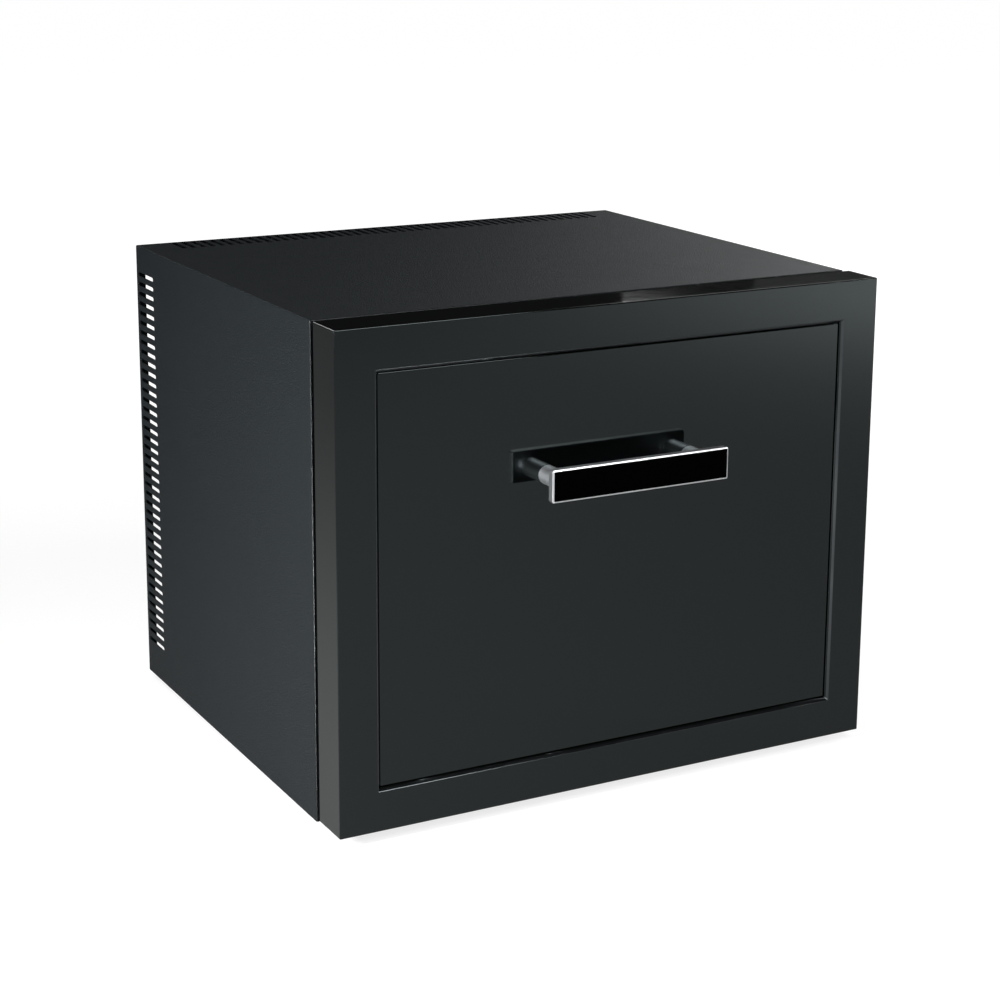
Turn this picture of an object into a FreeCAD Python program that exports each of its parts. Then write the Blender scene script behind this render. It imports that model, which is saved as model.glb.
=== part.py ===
import FreeCAD, Part
import math
import os
import re
import Sketcher
from FreeCAD import Placement, Rotation, Vector

# Drawer-type hotel minibar: a steel cabinet with an absorption cooling unit behind an insulated cavity,
# and one drawer on full-extension runners. Millimetres. X is the width, the drawer opens along -Y and Z is up.
# The origin is the middle of the bounding box at floor level.

doc = FreeCAD.newDocument("minibar")
sheet = doc.addObject("Spreadsheet::Sheet", "Sizes")

# Driving dimensions: name, millimetres, what it measures.
DRIVING = [
    ("cabinet_width", "480", "outer casing, side to side"),
    ("cabinet_height", "393", "outer casing, bottom edge to top"),
    ("foot_height", "6", "rubber foot, floor to base plate"),
    ("foot_radius", "14", "rubber foot at the floor"),
    ("foot_flare", "1", "how much wider the foot is at its top"),
    ("foot_inset", "50", "foot's axis from the casing's side"),
    ("foot_end_inset", "42", "foot's axis from the casing's front or back"),
    ("steel", "1", "casing sheet thickness"),
    ("fold_radius", "1.2", "outer radius of the casing's folds"),
    ("fit_gap", "0.2", "clearance between fixed pieces"),
    ("bottom_return", "12", "casing's fold under the base plate"),
    ("front_return", "14", "casing's fold at the front, the gasket's seat"),
    ("rear_return", "8", "casing's fold at the back"),
    ("base_fold", "12", "base plate's upright fold at the back"),
    ("base_fold_inset", "13", "that fold's ends from the casing's side"),
    ("side_wall", "30", "casing's outside to the cavity, at the sides"),
    ("top_wall", "34", "casing's outside to the cavity, at the top"),
    ("base_wall", "34", "casing's outside to the cavity, at the bottom"),
    ("rear_wall", "44", "cavity to the bulkhead's back"),
    ("unit_space", "57", "bulkhead's back to the casing's back"),
    ("cavity_radius", "8", "rounding of the cavity's long corners"),
    ("liner_wall", "2", "plastic liner thickness"),
    ("side_slots", "40", "slots in each side"),
    ("side_slot_height", "3.7", "side slot opening"),
    ("side_slot_length", "37.5", "side slot length"),
    ("side_slot_first", "32.2", "lowest side slot above the casing's bottom"),
    ("side_slot_last", "24.62", "highest side slot below the casing's top"),
    ("side_slot_margin", "5", "side slots' ends to the casing's back"),
    ("top_slots", "48", "slots in the top"),
    ("top_slot_side", "32.965", "outermost top slots from the casing's sides"),
    ("top_slot_width", "4.6", "top slot opening"),
    ("top_slot_length", "34", "top slot length"),
    ("top_slot_margin", "2.6", "top slots' ends to the casing's back"),
    ("base_slots", "14", "air slots in the base plate"),
    ("base_slot_side", "84", "outermost air slots from the casing's sides"),
    ("base_slot_width", "8", "air slot opening"),
    ("base_slot_length", "26", "air slot length"),
    ("base_slot_margin", "18", "air slots' ends to the casing's back"),
    ("front_gap", "8.5", "casing's front to the drawer front's back"),
    ("front_overhang", "1", "drawer front's sides beyond the casing's sides"),
    ("front_rise", "3.5", "drawer front's bottom above the casing's bottom"),
    ("front_top_rise", "0.7", "drawer front's top above the casing's top"),
    ("front_thickness", "37.3", "drawer front, front to back"),
    ("front_edge_radius", "0.8", "softening of the drawer front's edges"),
    ("frame_wall", "2", "side walls of the front frame"),
    ("border_width", "32", "frame border, outer edge to bevel"),
    ("recess_depth", "3", "border's face to the recessed panel"),
    ("bevel", "2.5", "slope between border and panel"),
    ("panel_overlap", "8", "panel's edge hidden behind the frame"),
    ("panel_thickness", "3", "recessed panel"),
    ("pan_side_inset", "45", "front liner's raised pan to the cavity's sides"),
    ("pan_end_inset", "25", "front liner's raised pan to the cavity's top and bottom"),
    ("pan_entry", "4", "how far the raised pan stands inside the cavity"),
    ("gasket_inset", "5", "gasket's outside to the casing's outside"),
    ("gasket_width", "12", "gasket's foot"),
    ("gasket_foot", "2.5", "thickness of the gasket's foot"),
    ("bulb_width", "8", "gasket's bulb"),
    ("seal_gap", "0.3", "gasket's bulb to the casing when shut"),
    ("handle_length", "157", "bar, end to end"),
    ("handle_height", "25.5", "bar, bottom to top"),
    ("handle_thickness", "7", "bar, front to back"),
    ("handle_reach", "35", "panel to the bar's front"),
    ("handle_drop", "128.2", "drawer front's top to the bar's centre"),
    ("handle_edge", "0.6", "rounding of the bar's edges"),
    ("insert_lip", "1.2", "bright lip around the insert"),
    ("insert_depth", "1.5", "insert thickness"),
    ("insert_play", "0.1", "insert's clearance in its pocket"),
    ("post_inset", "14.5", "handle posts' axes to the bar's ends"),
    ("post_radius", "8", "handle post"),
    ("spigot_radius", "4", "post's spigot in the bar"),
    ("spigot_length", "3", "post's spigot in the bar"),
    ("running_fit", "0.05", "radial play of a pin in its hole"),
    ("handle_screw_radius", "2.45", "handle screw's shank"),
    ("handle_screw_bite", "12", "handle screw's thread inside the post"),
    ("handle_head_radius", "4.5", "handle screw's head"),
    ("handle_head_height", "3", "handle screw's head"),
    ("rail_level", "111", "runner's centre above the cavity's bottom"),
    ("rail_start", "16", "casing's front to the runner"),
    ("rail_rear_gap", "8", "runner to the cavity's back"),
    ("rail_half_height", "22.8", "outer member, centre to edge"),
    ("rail_depth", "12.7", "liner's wall to the drawer's side"),
    ("rail_steel", "1.2", "runner sheet thickness"),
    ("rail_lip", "2.4", "outer member's lip"),
    ("outer_reach", "11.4", "outer member's depth"),
    ("middle_start", "3", "middle member's web from the liner's wall"),
    ("middle_reach", "10.2", "middle member's open edge from the liner's wall"),
    ("inner_start", "6.6", "inner member's open edge from the liner's wall"),
    ("race_gap", "3.6", "room for the balls between two members"),
    ("ball_radius", "1.5", "bearing ball"),
    ("outer_ball_place", "7", "outer balls from the liner's wall"),
    ("inner_ball_place", "8.4", "inner balls from the liner's wall"),
    ("cage_steel", "0.6", "ball cage thickness"),
    ("outer_cage_start", "1.8", "outer cage's web from the liner's wall"),
    ("outer_cage_reach", "9.4", "outer cage's edge from the liner's wall"),
    ("inner_cage_start", "4.8", "inner cage's web from the liner's wall"),
    ("inner_cage_reach", "10.6", "inner cage's edge from the liner's wall"),
    ("cage_length", "100", "ball cage"),
    ("balls", "6", "balls in each row"),
    ("ball_pitch", "16", "spacing of the balls"),
    ("ball_play", "0.1", "ball's clearance in its cage"),
    ("backing_height", "40", "plate behind the liner that the runner's screws bite"),
    ("backing_steel", "2", "thickness of that plate"),
    ("rail_screw_radius", "1.6", "runner screw's shank"),
    ("rail_screw_head", "3", "runner screw's flush head"),
    ("rail_screw_setback", "20", "runner's ends to its first and last screw"),
    ("side_steel", "1.5", "drawer's side plates"),
    ("side_below", "32", "side plate's bottom below the runner's centre"),
    ("side_above", "36", "side plate's top above the runner's centre"),
    ("side_fold", "22", "side plate's fold against the front liner"),
    ("drawer_screw_radius", "2", "drawer screw's shank"),
    ("drawer_screw_length", "8", "drawer screw's shank"),
    ("drawer_head_radius", "3.6", "drawer screw's head"),
    ("drawer_head_height", "1.6", "drawer screw's head"),
    ("basket_start", "14", "casing's front to the basket"),
    ("basket_depth", "248", "basket, front to back"),
    ("basket_rear_gap", "18", "basket to the cavity's back"),
    ("basket_rise", "8", "cavity's bottom to the basket"),
    ("basket_wall", "2.5", "basket thickness"),
    ("basket_play", "0.5", "basket to the side plates"),
    ("basket_rim", "1.2", "rim's reach over the side plates"),
    ("basket_radius", "8", "rounding of the basket's upright corners"),
    ("partition_place", "65", "fixed partition, left of the middle"),
    ("partition_wall", "2", "fixed partition"),
    ("partition_height", "100", "fixed partition"),
    ("divider_place", "120", "sliding divider from the basket's front"),
    ("divider_wall", "2", "sliding divider"),
    ("divider_height", "90", "sliding divider"),
    ("divider_foot", "20", "sliding divider's foot"),
    ("divider_play", "0.5", "sliding divider to the basket's walls"),
    ("rest_gap", "0.3", "sliding divider's foot over the basket's floor"),
    ("pipe_radius", "7", "condenser and return pipes"),
    ("pipe_bend", "18", "their bends, to the pipe's centre"),
    ("unit_offset", "28", "bulkhead to the cooling unit's centre"),
    ("condenser_drop", "46", "casing's top to the condenser pipe"),
    ("inlet_spacing", "40", "return pipe to the condenser pipe's left end"),
    ("inlet_drop", "42", "condenser pipe down to where it enters the cavity"),
    ("fin_left_gap", "30", "condenser pipe's left end to the first fin"),
    ("fin_right_gap", "35", "last fin to the boiler tube's axis"),
    ("fins", "27", "condenser fins"),
    ("fin_wall", "1", "fin thickness"),
    ("fin_depth", "44", "fin, front to back"),
    ("fin_height", "60", "fin, bottom to top"),
    ("return_inset", "20", "return pipe to the vessel's right end"),
    ("return_offset", "19", "bulkhead to the return pipe's centre"),
    ("boiler_inset", "40", "boiler tube's axis to the casing's right side"),
    ("boiler_radius", "12", "boiler tube"),
    ("boiler_bottom", "25", "boiler tube's foot above the casing's bottom"),
    ("boiler_drop", "98", "casing's top to the boiler tube's top"),
    ("heater_offset", "20", "heater's axis from the boiler tube's"),
    ("heater_radius", "6", "heater cartridge"),
    ("heater_length", "90", "heater cartridge"),
    ("cover_inset", "18", "boiler cover to the casing's right side"),
    ("cover_width", "64", "boiler cover, side to side"),
    ("cover_bottom", "19", "boiler cover above the casing's bottom"),
    ("cover_drop", "106", "casing's top to the boiler cover's top"),
    ("cover_depth", "50", "boiler cover, from the bulkhead"),
    ("vessel_radius", "20", "absorber vessel"),
    ("vessel_level", "35", "absorber vessel's axis above the casing's bottom"),
    ("vessel_inset", "25", "absorber vessel to the casing's left side"),
    ("vessel_length", "175", "absorber vessel, end to end"),
    ("vessel_dome", "7", "rounding of the vessel's ends"),
    ("coil_radius", "6", "absorber coil's tube"),
    ("coil_pitch", "30", "spacing of the coil's runs"),
    ("coil_runs", "6", "level runs of the coil"),
    ("coil_first", "69", "lowest run above the casing's bottom"),
    ("coil_inset", "31", "left bends' centre to the casing's left side"),
    ("coil_length", "114", "left bends' centre to right bends' centre"),
    ("coil_offset", "43", "bulkhead to the coil's centre"),
    ("coil_drop_bend", "12", "bend from the coil down to the vessel"),
    ("solution_radius", "5", "solution pipe"),
    ("saddle_width", "14", "vessel's saddle brackets"),
    ("saddle_height", "36", "vessel's saddle brackets"),
    ("saddle_inset", "35", "saddle to the vessel's end"),
    ("plate_width", "220", "cold plate"),
    ("plate_drop", "8", "cavity's ceiling to the cold plate"),
    ("plate_height", "60", "cold plate"),
    ("plate_thickness", "3", "cold plate's back"),
    ("plate_ribs", "12", "cold plate's ribs"),
    ("rib_pitch", "18", "spacing of the ribs"),
    ("rib_wall", "2", "rib thickness"),
    ("rib_depth", "22", "rib, from the cold plate's back"),
    ("terminal_gap", "48", "terminal box to the boiler cover"),
    ("terminal_width", "90", "terminal box"),
    ("terminal_bottom", "60", "terminal box above the casing's bottom"),
    ("terminal_height", "64", "terminal box"),
    ("terminal_depth", "36", "terminal box, from the bulkhead"),
    ("terminal_wall", "2.5", "terminal box"),
    ("gland_bore", "4", "cable gland's hole, radius"),
    ("gland_radius", "8", "cable gland's collar"),
    ("gland_nut", "11", "cable gland's flange, radius"),
    ("gland_flange", "4", "cable gland's flange thickness"),
    ("gland_length", "14", "cable gland outside the box"),
    ("housing_side_gap", "14", "thermostat housing to the cavity's right side"),
    ("housing_width", "106", "thermostat housing"),
    ("housing_setback", "20", "casing's front to the thermostat housing"),
    ("housing_depth", "80", "thermostat housing, front to back"),
    ("housing_height", "24", "thermostat housing"),
    ("housing_wall", "2", "thermostat housing"),
    ("housing_radius", "4", "rounding of its upright corners"),
    ("lens_width", "50", "lamp lens"),
    ("lens_depth", "60", "lamp lens"),
    ("lens_inset", "8", "lamp lens to the housing's left side"),
    ("lens_ledge", "4", "ledge that the lens lies on"),
    ("lens_thickness", "2", "lamp lens"),
    ("lens_rim", "8", "lens rim that carries the lamp board"),
    ("board_thickness", "1.6", "lamp board"),
    ("lamp_size", "5", "each light on the board"),
    ("lamp_height", "1.5", "each light on the board"),
    ("lamps", "3", "lights on the board"),
    ("lamp_pitch", "15", "spacing of the lights"),
    ("knob_radius", "11", "thermostat knob"),
    ("knob_depth", "9", "thermostat knob"),
    ("knob_gap", "0.4", "knob to the housing"),
    ("knob_inset", "24", "knob's axis to the housing's right side"),
    ("knob_shaft_radius", "3", "knob's shaft"),
    ("knob_shaft_length", "14", "knob's shaft inside the housing"),
    ("knob_grip", "3", "width of the knob's raised grip"),
    ("knob_disc", "4", "knob's flat disc behind the grip"),
    ("knob_rim", "1", "grip's ends to the knob's edge"),
    ("switch_width", "30", "reed switch and its magnet"),
    ("switch_height", "7", "reed switch and its magnet"),
    ("switch_depth", "6", "reed switch and its magnet"),
    ("switch_drop", "24", "reed switch below the casing's top"),
    ("base_screw_radius", "2", "base screw's shank"),
    ("base_screw_length", "4", "base screw's shank"),
    ("base_screw_head", "3.4", "base screw's head, radius"),
    ("base_head_height", "2", "base screw's head"),
    ("casing_screw_inset", "60", "end casing screws to the casing's ends"),
]


class Size:
    """A length with the expression that keeps it tied to the sheet."""

    def __init__(self, value, text):
        self.value = value
        self.text = text

    def __neg__(self):
        return Size(-self.value, f"(-({self.text}))")

    def __add__(self, other):
        other = as_size(other)
        return Size(self.value + other.value, f"({self.text} + {other.text})")

    def __sub__(self, other):
        other = as_size(other)
        return Size(self.value - other.value, f"({self.text} - {other.text})")

    def __rsub__(self, other):
        return as_size(other) - self

    def __mul__(self, factor):
        factor = as_size(factor)
        return Size(self.value * factor.value, f"({self.text} * {factor.text})")

    def __truediv__(self, divisor):
        return Size(self.value / divisor, f"({self.text} / {divisor})")

    __radd__ = __add__
    __rmul__ = __mul__


def as_size(number):
    """A Size as it is, or a plain number as a Size."""
    if isinstance(number, Size):
        return number
    return Size(float(number), f"({number})")


NAMES = []


def add_cell(name, content, note):
    """One row of the sheet: note, content and the content's alias."""
    row = len(NAMES) + 1
    sheet.set(f"A{row}", note)
    sheet.set(f"B{row}", content)
    sheet.setAlias(f"B{row}", name)
    NAMES.append(name)


def named(name, size, note):
    """Keep a worked-out size in the sheet under its own name."""
    add_cell(name, "=" + size.text, note)
    return Size(size.value, name)


def linked(size):
    """The size's expression as objects outside the sheet read it."""
    return re.sub(r"[a-z][a-z_]+", r"Sizes.\g<0>", as_size(size).text)


for alias, content, note in DRIVING:
    add_cell(alias, content, note)
given = {alias: Size(float(content), alias) for alias, content, note in DRIVING}


def of(name):
    """A driving dimension as a Size."""
    return given[name]


def bind(thing, **properties):
    """Tie properties of an object to the sheet."""
    for name, size in properties.items():
        thing.setExpression(name, linked(size))


def put(thing, x, y, z, turn=None):
    """Place an object, turned first."""
    if turn:
        thing.Placement = Placement(Vector(), turn)
    for axis, size in zip("xyz", (x, y, z)):
        thing.setExpression(f"Placement.Base.{axis}", linked(size))
    return thing


def box(name, x, y, z):
    """Block between two places along each axis."""
    block = doc.addObject("Part::Box", name)
    bind(block, Length=x[1] - x[0], Width=y[1] - y[0], Height=z[1] - z[0])
    return put(block, x[0], y[0], z[0])


ALONG = {"x": Rotation(Vector(0, 1, 0), 90), "y": Rotation(Vector(1, 0, 0), -90), "z": Rotation()}


def rod(name, axis, x, y, z, radius, length):
    """Cylinder that starts at a point and runs along +X, +Y or +Z."""
    piece = doc.addObject("Part::Cylinder", name)
    bind(piece, Radius=radius, Height=length)
    return put(piece, x, y, z, ALONG[axis])


def fuse(name, pieces):
    """Several shapes as one."""
    result = doc.addObject("Part::MultiFuse", name)
    result.Shapes = pieces
    return result


def cut(name, base, tools):
    """A shape less others."""
    result = doc.addObject("Part::Cut", name)
    result.Base = base
    result.Tool = tools[0] if len(tools) == 1 else fuse(name + "_tools", tools)
    return result


def group(name, pieces):
    """Separate solids of one kind under one name."""
    result = doc.addObject("Part::Compound", name)
    result.Links = pieces
    return result


# Which way a sketch's normal points, and so which way a pad or a pocket is turned to run along the axis.
PLANES = {"XY": ("XY_Plane", 1), "XZ": ("XZ_Plane", -1), "YZ": ("YZ_Plane", 1)}


def origin_part(body, role):
    """A body's own plane or axis."""
    return next(part for part in body.Origin.OriginFeatures if part.Role == role)


def corner_box(u, v):
    """Corners of a rectangle between two places along each sketch axis."""
    return [(u[0], v[0]), (u[1], v[0]), (u[1], v[1]), (u[0], v[1])]


def place_vertex(sketch, edge, vertex, point):
    """Tie a sketch vertex to its two coordinates."""
    for kind, label, size in (("DistanceX", "u", point[0]), ("DistanceY", "v", point[1])):
        size = as_size(size)
        index = sketch.addConstraint(Sketcher.Constraint(kind, edge, vertex, size.value))
        sketch.renameConstraint(index, f"{label}{edge}")
        sketch.setExpression(f"Constraints.{label}{edge}", linked(size))


def draw_loop(sketch, corners):
    """Closed chain of straight lines through the corners."""
    first = sketch.GeometryCount
    count = len(corners)
    flat = [Vector(as_size(u).value, as_size(v).value, 0) for u, v in corners]
    for i in range(count):
        sketch.addGeometry(Part.LineSegment(flat[i], flat[(i + 1) % count]), False)
    for i in range(count):
        sketch.addConstraint(Sketcher.Constraint("Coincident", first + i, 2, first + (i + 1) % count, 1))
        place_vertex(sketch, first + i, 1, corners[i])


def draw_circle(sketch, centre, radius):
    """Circle tied to its centre and radius."""
    edge = sketch.GeometryCount
    middle = Vector(as_size(centre[0]).value, as_size(centre[1]).value, 0)
    sketch.addGeometry(Part.Circle(middle, Vector(0, 0, 1), radius.value), False)
    place_vertex(sketch, edge, 3, centre)
    tie_radius(sketch, edge, radius)


def tie_radius(sketch, edge, radius):
    """Tie a circle's or an arc's radius."""
    index = sketch.addConstraint(Sketcher.Constraint("Radius", edge, radius.value))
    sketch.renameConstraint(index, f"r{edge}")
    sketch.setExpression(f"Constraints.r{edge}", linked(radius))


def draw_slot(sketch, centre, half_length, radius, upright):
    """Slot with round ends, long along the sketch's second axis if upright."""
    u, v = (as_size(part) for part in centre)
    straight = half_length - radius
    first = sketch.GeometryCount
    ends = []
    for sign in (1, -1):
        end = (u, v + straight * sign) if upright else (u + straight * sign, v)
        ends.append(end)
        turn = (0 if upright else -math.pi / 2) + (0 if sign > 0 else math.pi)
        circle = Part.Circle(Vector(end[0].value, end[1].value, 0), Vector(0, 0, 1), radius.value)
        sketch.addGeometry(Part.ArcOfCircle(circle, turn, turn + math.pi), False)
    arcs = [sketch.Geometry[first], sketch.Geometry[first + 1]]
    sketch.addGeometry(Part.LineSegment(arcs[0].EndPoint, arcs[1].StartPoint), False)
    sketch.addGeometry(Part.LineSegment(arcs[1].EndPoint, arcs[0].StartPoint), False)
    for arc, line in ((first, first + 2), (first + 1, first + 3)):
        sketch.addConstraint(Sketcher.Constraint("Tangent", arc, 2, line, 1))
    for line, arc in ((first + 2, first + 1), (first + 3, first)):
        sketch.addConstraint(Sketcher.Constraint("Tangent", line, 2, arc, 1))
    for edge, end in zip((first, first + 1), ends):
        place_vertex(sketch, edge, 3, end)
    tie_radius(sketch, first, radius)


def new_sketch(body, plane, start):
    """Empty sketch on one of the body's own planes, moved along its axis to start."""
    role, sense = PLANES[plane]
    sketch = body.newObject("Sketcher::SketchObject", body.Name + "_sketch")
    sketch.AttachmentSupport = [(origin_part(body, role), "")]
    sketch.MapMode = "FlatFace"
    sketch.setExpression("AttachmentOffset.Base.z", linked(as_size(start) * sense))
    return sketch


def pad(body, plane, span, loops):
    """Add material between two places along the plane's axis."""
    sketch = new_sketch(body, plane, span[0])
    for loop in loops:
        draw_loop(sketch, loop)
    feature = body.newObject("PartDesign::Pad", body.Name + "_pad")
    feature.Profile = sketch
    feature.Reversed = PLANES[plane][1] < 0
    bind(feature, Length=span[1] - span[0])
    doc.recompute()
    return feature


def pocket_sketch(body, sketch, plane, length):
    """Cut a finished sketch from its own place along the plane's axis."""
    before = body.Shape.Volume
    feature = body.newObject("PartDesign::Pocket", body.Name + "_pocket")
    feature.Profile = sketch
    feature.Reversed = PLANES[plane][1] > 0
    bind(feature, Length=length)
    doc.recompute()
    if feature.Shape.Volume >= before:
        raise RuntimeError(f"{body.Label}: a pocket cuts nothing")
    return feature


def pocket(body, plane, span, loops):
    """Remove material between two places along the plane's axis."""
    sketch = new_sketch(body, plane, span[0])
    for loop in loops:
        draw_loop(sketch, loop)
    return pocket_sketch(body, sketch, plane, span[1] - span[0])


def drill(body, plane, span, centres, radius):
    """Round holes between two places along the plane's axis."""
    sketch = new_sketch(body, plane, span[0])
    for centre in centres:
        draw_circle(sketch, centre, radius)
    return pocket_sketch(body, sketch, plane, span[1] - span[0])


def repeat(body, feature, role, count, pitch):
    """Copies of a feature along one of the body's own axes."""
    pattern = body.newObject("PartDesign::LinearPattern", body.Name + "_pattern")
    pattern.Originals = [feature]
    pattern.Direction = (origin_part(body, role), [""])
    pattern.Mode = "Spacing"
    bind(pattern, Offset=pitch, Occurrences=count)
    body.Tip = pattern
    doc.recompute()
    return pattern


def round_edges(body, wanted, radius):
    """Fillet the edges of the body so far that the test picks."""
    base = body.Tip
    names = [f"Edge{i + 1}" for i, edge in enumerate(base.Shape.Edges) if wanted(edge.BoundBox)]
    fillet = body.newObject("PartDesign::Fillet", body.Name + "_fillet")
    fillet.Base = (base, names)
    bind(fillet, Radius=radius)
    doc.recompute()
    return fillet


def slope_edges(body, wanted, size):
    """Chamfer the edges of the body so far that the test picks."""
    base = body.Tip
    names = [f"Edge{i + 1}" for i, edge in enumerate(base.Shape.Edges) if wanted(edge.BoundBox)]
    chamfer = body.newObject("PartDesign::Chamfer", body.Name + "_chamfer")
    chamfer.Base = (base, names)
    bind(chamfer, Size=size)
    doc.recompute()
    return chamfer


def at(low, high, size):
    """Whether a bounding box's two limits on an axis both lie at a place."""
    return abs(low - size.value) < 1e-3 and abs(high - size.value) < 1e-3


def new_body(label):
    """A part design body under its final name."""
    body = doc.addObject("PartDesign::Body", label)
    body.Label = label
    return body


NODES = []


def node(piece):
    """Mark a piece as a finished sub-part."""
    NODES.append(piece)
    return piece


# ---------------------------------------------------------------------------------------------------------
# Places that several pieces share, all worked out from the driving dimensions.

half_width = named("half_width", of("cabinet_width") / 2, "casing's side from the middle")
cavity_depth = named(
    "cavity_depth", of("basket_start") + of("basket_depth") + of("basket_rear_gap"), "cavity, front to back"
)
cabinet_depth = named("cabinet_depth", cavity_depth + of("rear_wall") + of("unit_space"), "casing, front to back")
overall_depth = named(
    "overall_depth",
    cabinet_depth + of("front_gap") + of("front_thickness") - of("recess_depth") + of("handle_reach"),
    "handle's front to the casing's back",
)
rear_y = named("rear_y", overall_depth / 2, "casing's back")
front_y = named("front_y", rear_y - cabinet_depth, "casing's front")
bottom_z = named("bottom_z", of("foot_height") - of("steel"), "casing's bottom edge")
top_z = named("top_z", bottom_z + of("cabinet_height"), "casing's top")
inside_x = named("inside_x", half_width - of("steel"), "casing's inner face")
inside_top = named("inside_top", top_z - of("steel"), "underside of the casing's top")
floor_low = named("floor_low", bottom_z + of("steel"), "base plate's underside")
floor_high = named("floor_high", floor_low + of("steel"), "base plate's top")
seat_x = named("seat_x", half_width - of("front_return"), "inner edge of the gasket's seat")
seat_low = named("seat_low", bottom_z + of("front_return"), "gasket seat's inner edge, bottom")
seat_high = named("seat_high", top_z - of("front_return"), "gasket seat's inner edge, top")
cavity_x = named("cavity_x", half_width - of("side_wall"), "cavity's side")
cavity_low = named("cavity_low", bottom_z + of("base_wall"), "cavity's floor")
cavity_high = named("cavity_high", top_z - of("top_wall"), "cavity's ceiling")
cavity_back = named("cavity_back", front_y + cavity_depth, "cavity's back")
shell_x = named("shell_x", cavity_x + of("liner_wall"), "liner's outer side")
shell_low = named("shell_low", cavity_low - of("liner_wall"), "liner's outer bottom")
shell_high = named("shell_high", cavity_high + of("liner_wall"), "liner's outer top")
shell_back = named("shell_back", cavity_back + of("liner_wall"), "liner's outer back")
bulkhead_back = named("bulkhead_back", cavity_back + of("rear_wall"), "bulkhead's back")
bulkhead_front = named("bulkhead_front", bulkhead_back - of("steel"), "bulkhead's front")
face_y = named("face_y", front_y - of("front_gap") - of("front_thickness"), "drawer front's face")
back_y = named("back_y", front_y - of("front_gap"), "drawer front's back")
panel_y = named("panel_y", face_y + of("recess_depth"), "recessed panel's face")
panel_back = named("panel_back", panel_y + of("panel_thickness"), "recessed panel's back")
front_x = named("front_x", half_width + of("front_overhang"), "drawer front's side from the middle")
front_low = named("front_low", bottom_z + of("front_rise"), "drawer front's bottom")
front_high = named("front_high", top_z + of("front_top_rise"), "drawer front's top")
handle_z = named("handle_z", front_high - of("handle_drop"), "handle's centre")
handle_y = named("handle_y", panel_y - of("handle_reach"), "handle's front")
bar_back = named("bar_back", handle_y + of("handle_thickness"), "handle bar's back")
post_x = named("post_x", of("handle_length") / 2 - of("post_inset"), "handle post from the middle")
rail_z = named("rail_z", cavity_low + of("rail_level"), "runner's centre")
rail_front = named("rail_front", front_y + of("rail_start"), "runner's front end")
rail_back = named("rail_back", cavity_back - of("rail_rear_gap"), "runner's back end")
rail_length = named("rail_length", rail_back - rail_front, "each runner member")
side_out = named("side_out", cavity_x - of("rail_depth"), "side plate's outer face")
side_in = named("side_in", side_out - of("side_steel"), "side plate's inner face")
side_top = named("side_top", rail_z + of("side_above"), "side plate's top")
liner_y = named("liner_y", back_y - of("liner_wall"), "front liner's front")
unit_y = named("unit_y", bulkhead_back + of("unit_offset"), "cooling unit's centre")
boiler_x = named("boiler_x", half_width - of("boiler_inset"), "boiler tube's axis")
cover_right = named("cover_right", half_width - of("cover_inset"), "boiler cover's right side")
cover_left = named("cover_left", cover_right - of("cover_width"), "boiler cover's left side")
vessel_left = named("vessel_left", of("vessel_inset") - half_width, "absorber vessel's left end")
vessel_right = named("vessel_right", vessel_left + of("vessel_length"), "absorber vessel's right end")
return_x = named("return_x", vessel_right - of("return_inset"), "return pipe's axis")
condenser_x = named("condenser_x", return_x - of("inlet_spacing"), "condenser pipe's left end")
condenser_z = named("condenser_z", top_z - of("condenser_drop"), "condenser pipe's level")
housing_right = named("housing_right", cavity_x - of("housing_side_gap"), "thermostat housing's right side")
ZERO = as_size(0)


def both(size):
    """From minus the size to plus the size."""
    return (-size, size)


def spacing(span, count):
    """Pitch of a row: the span from its first to its last, shared between them."""
    return Size(span.value / (count.value - 1), f"({span.text} / ({count.text} - 1))")


# ---------------------------------------------------------------------------------------------------------
# Cabinet: casing, base, bulkhead, insulation and liner.


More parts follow.
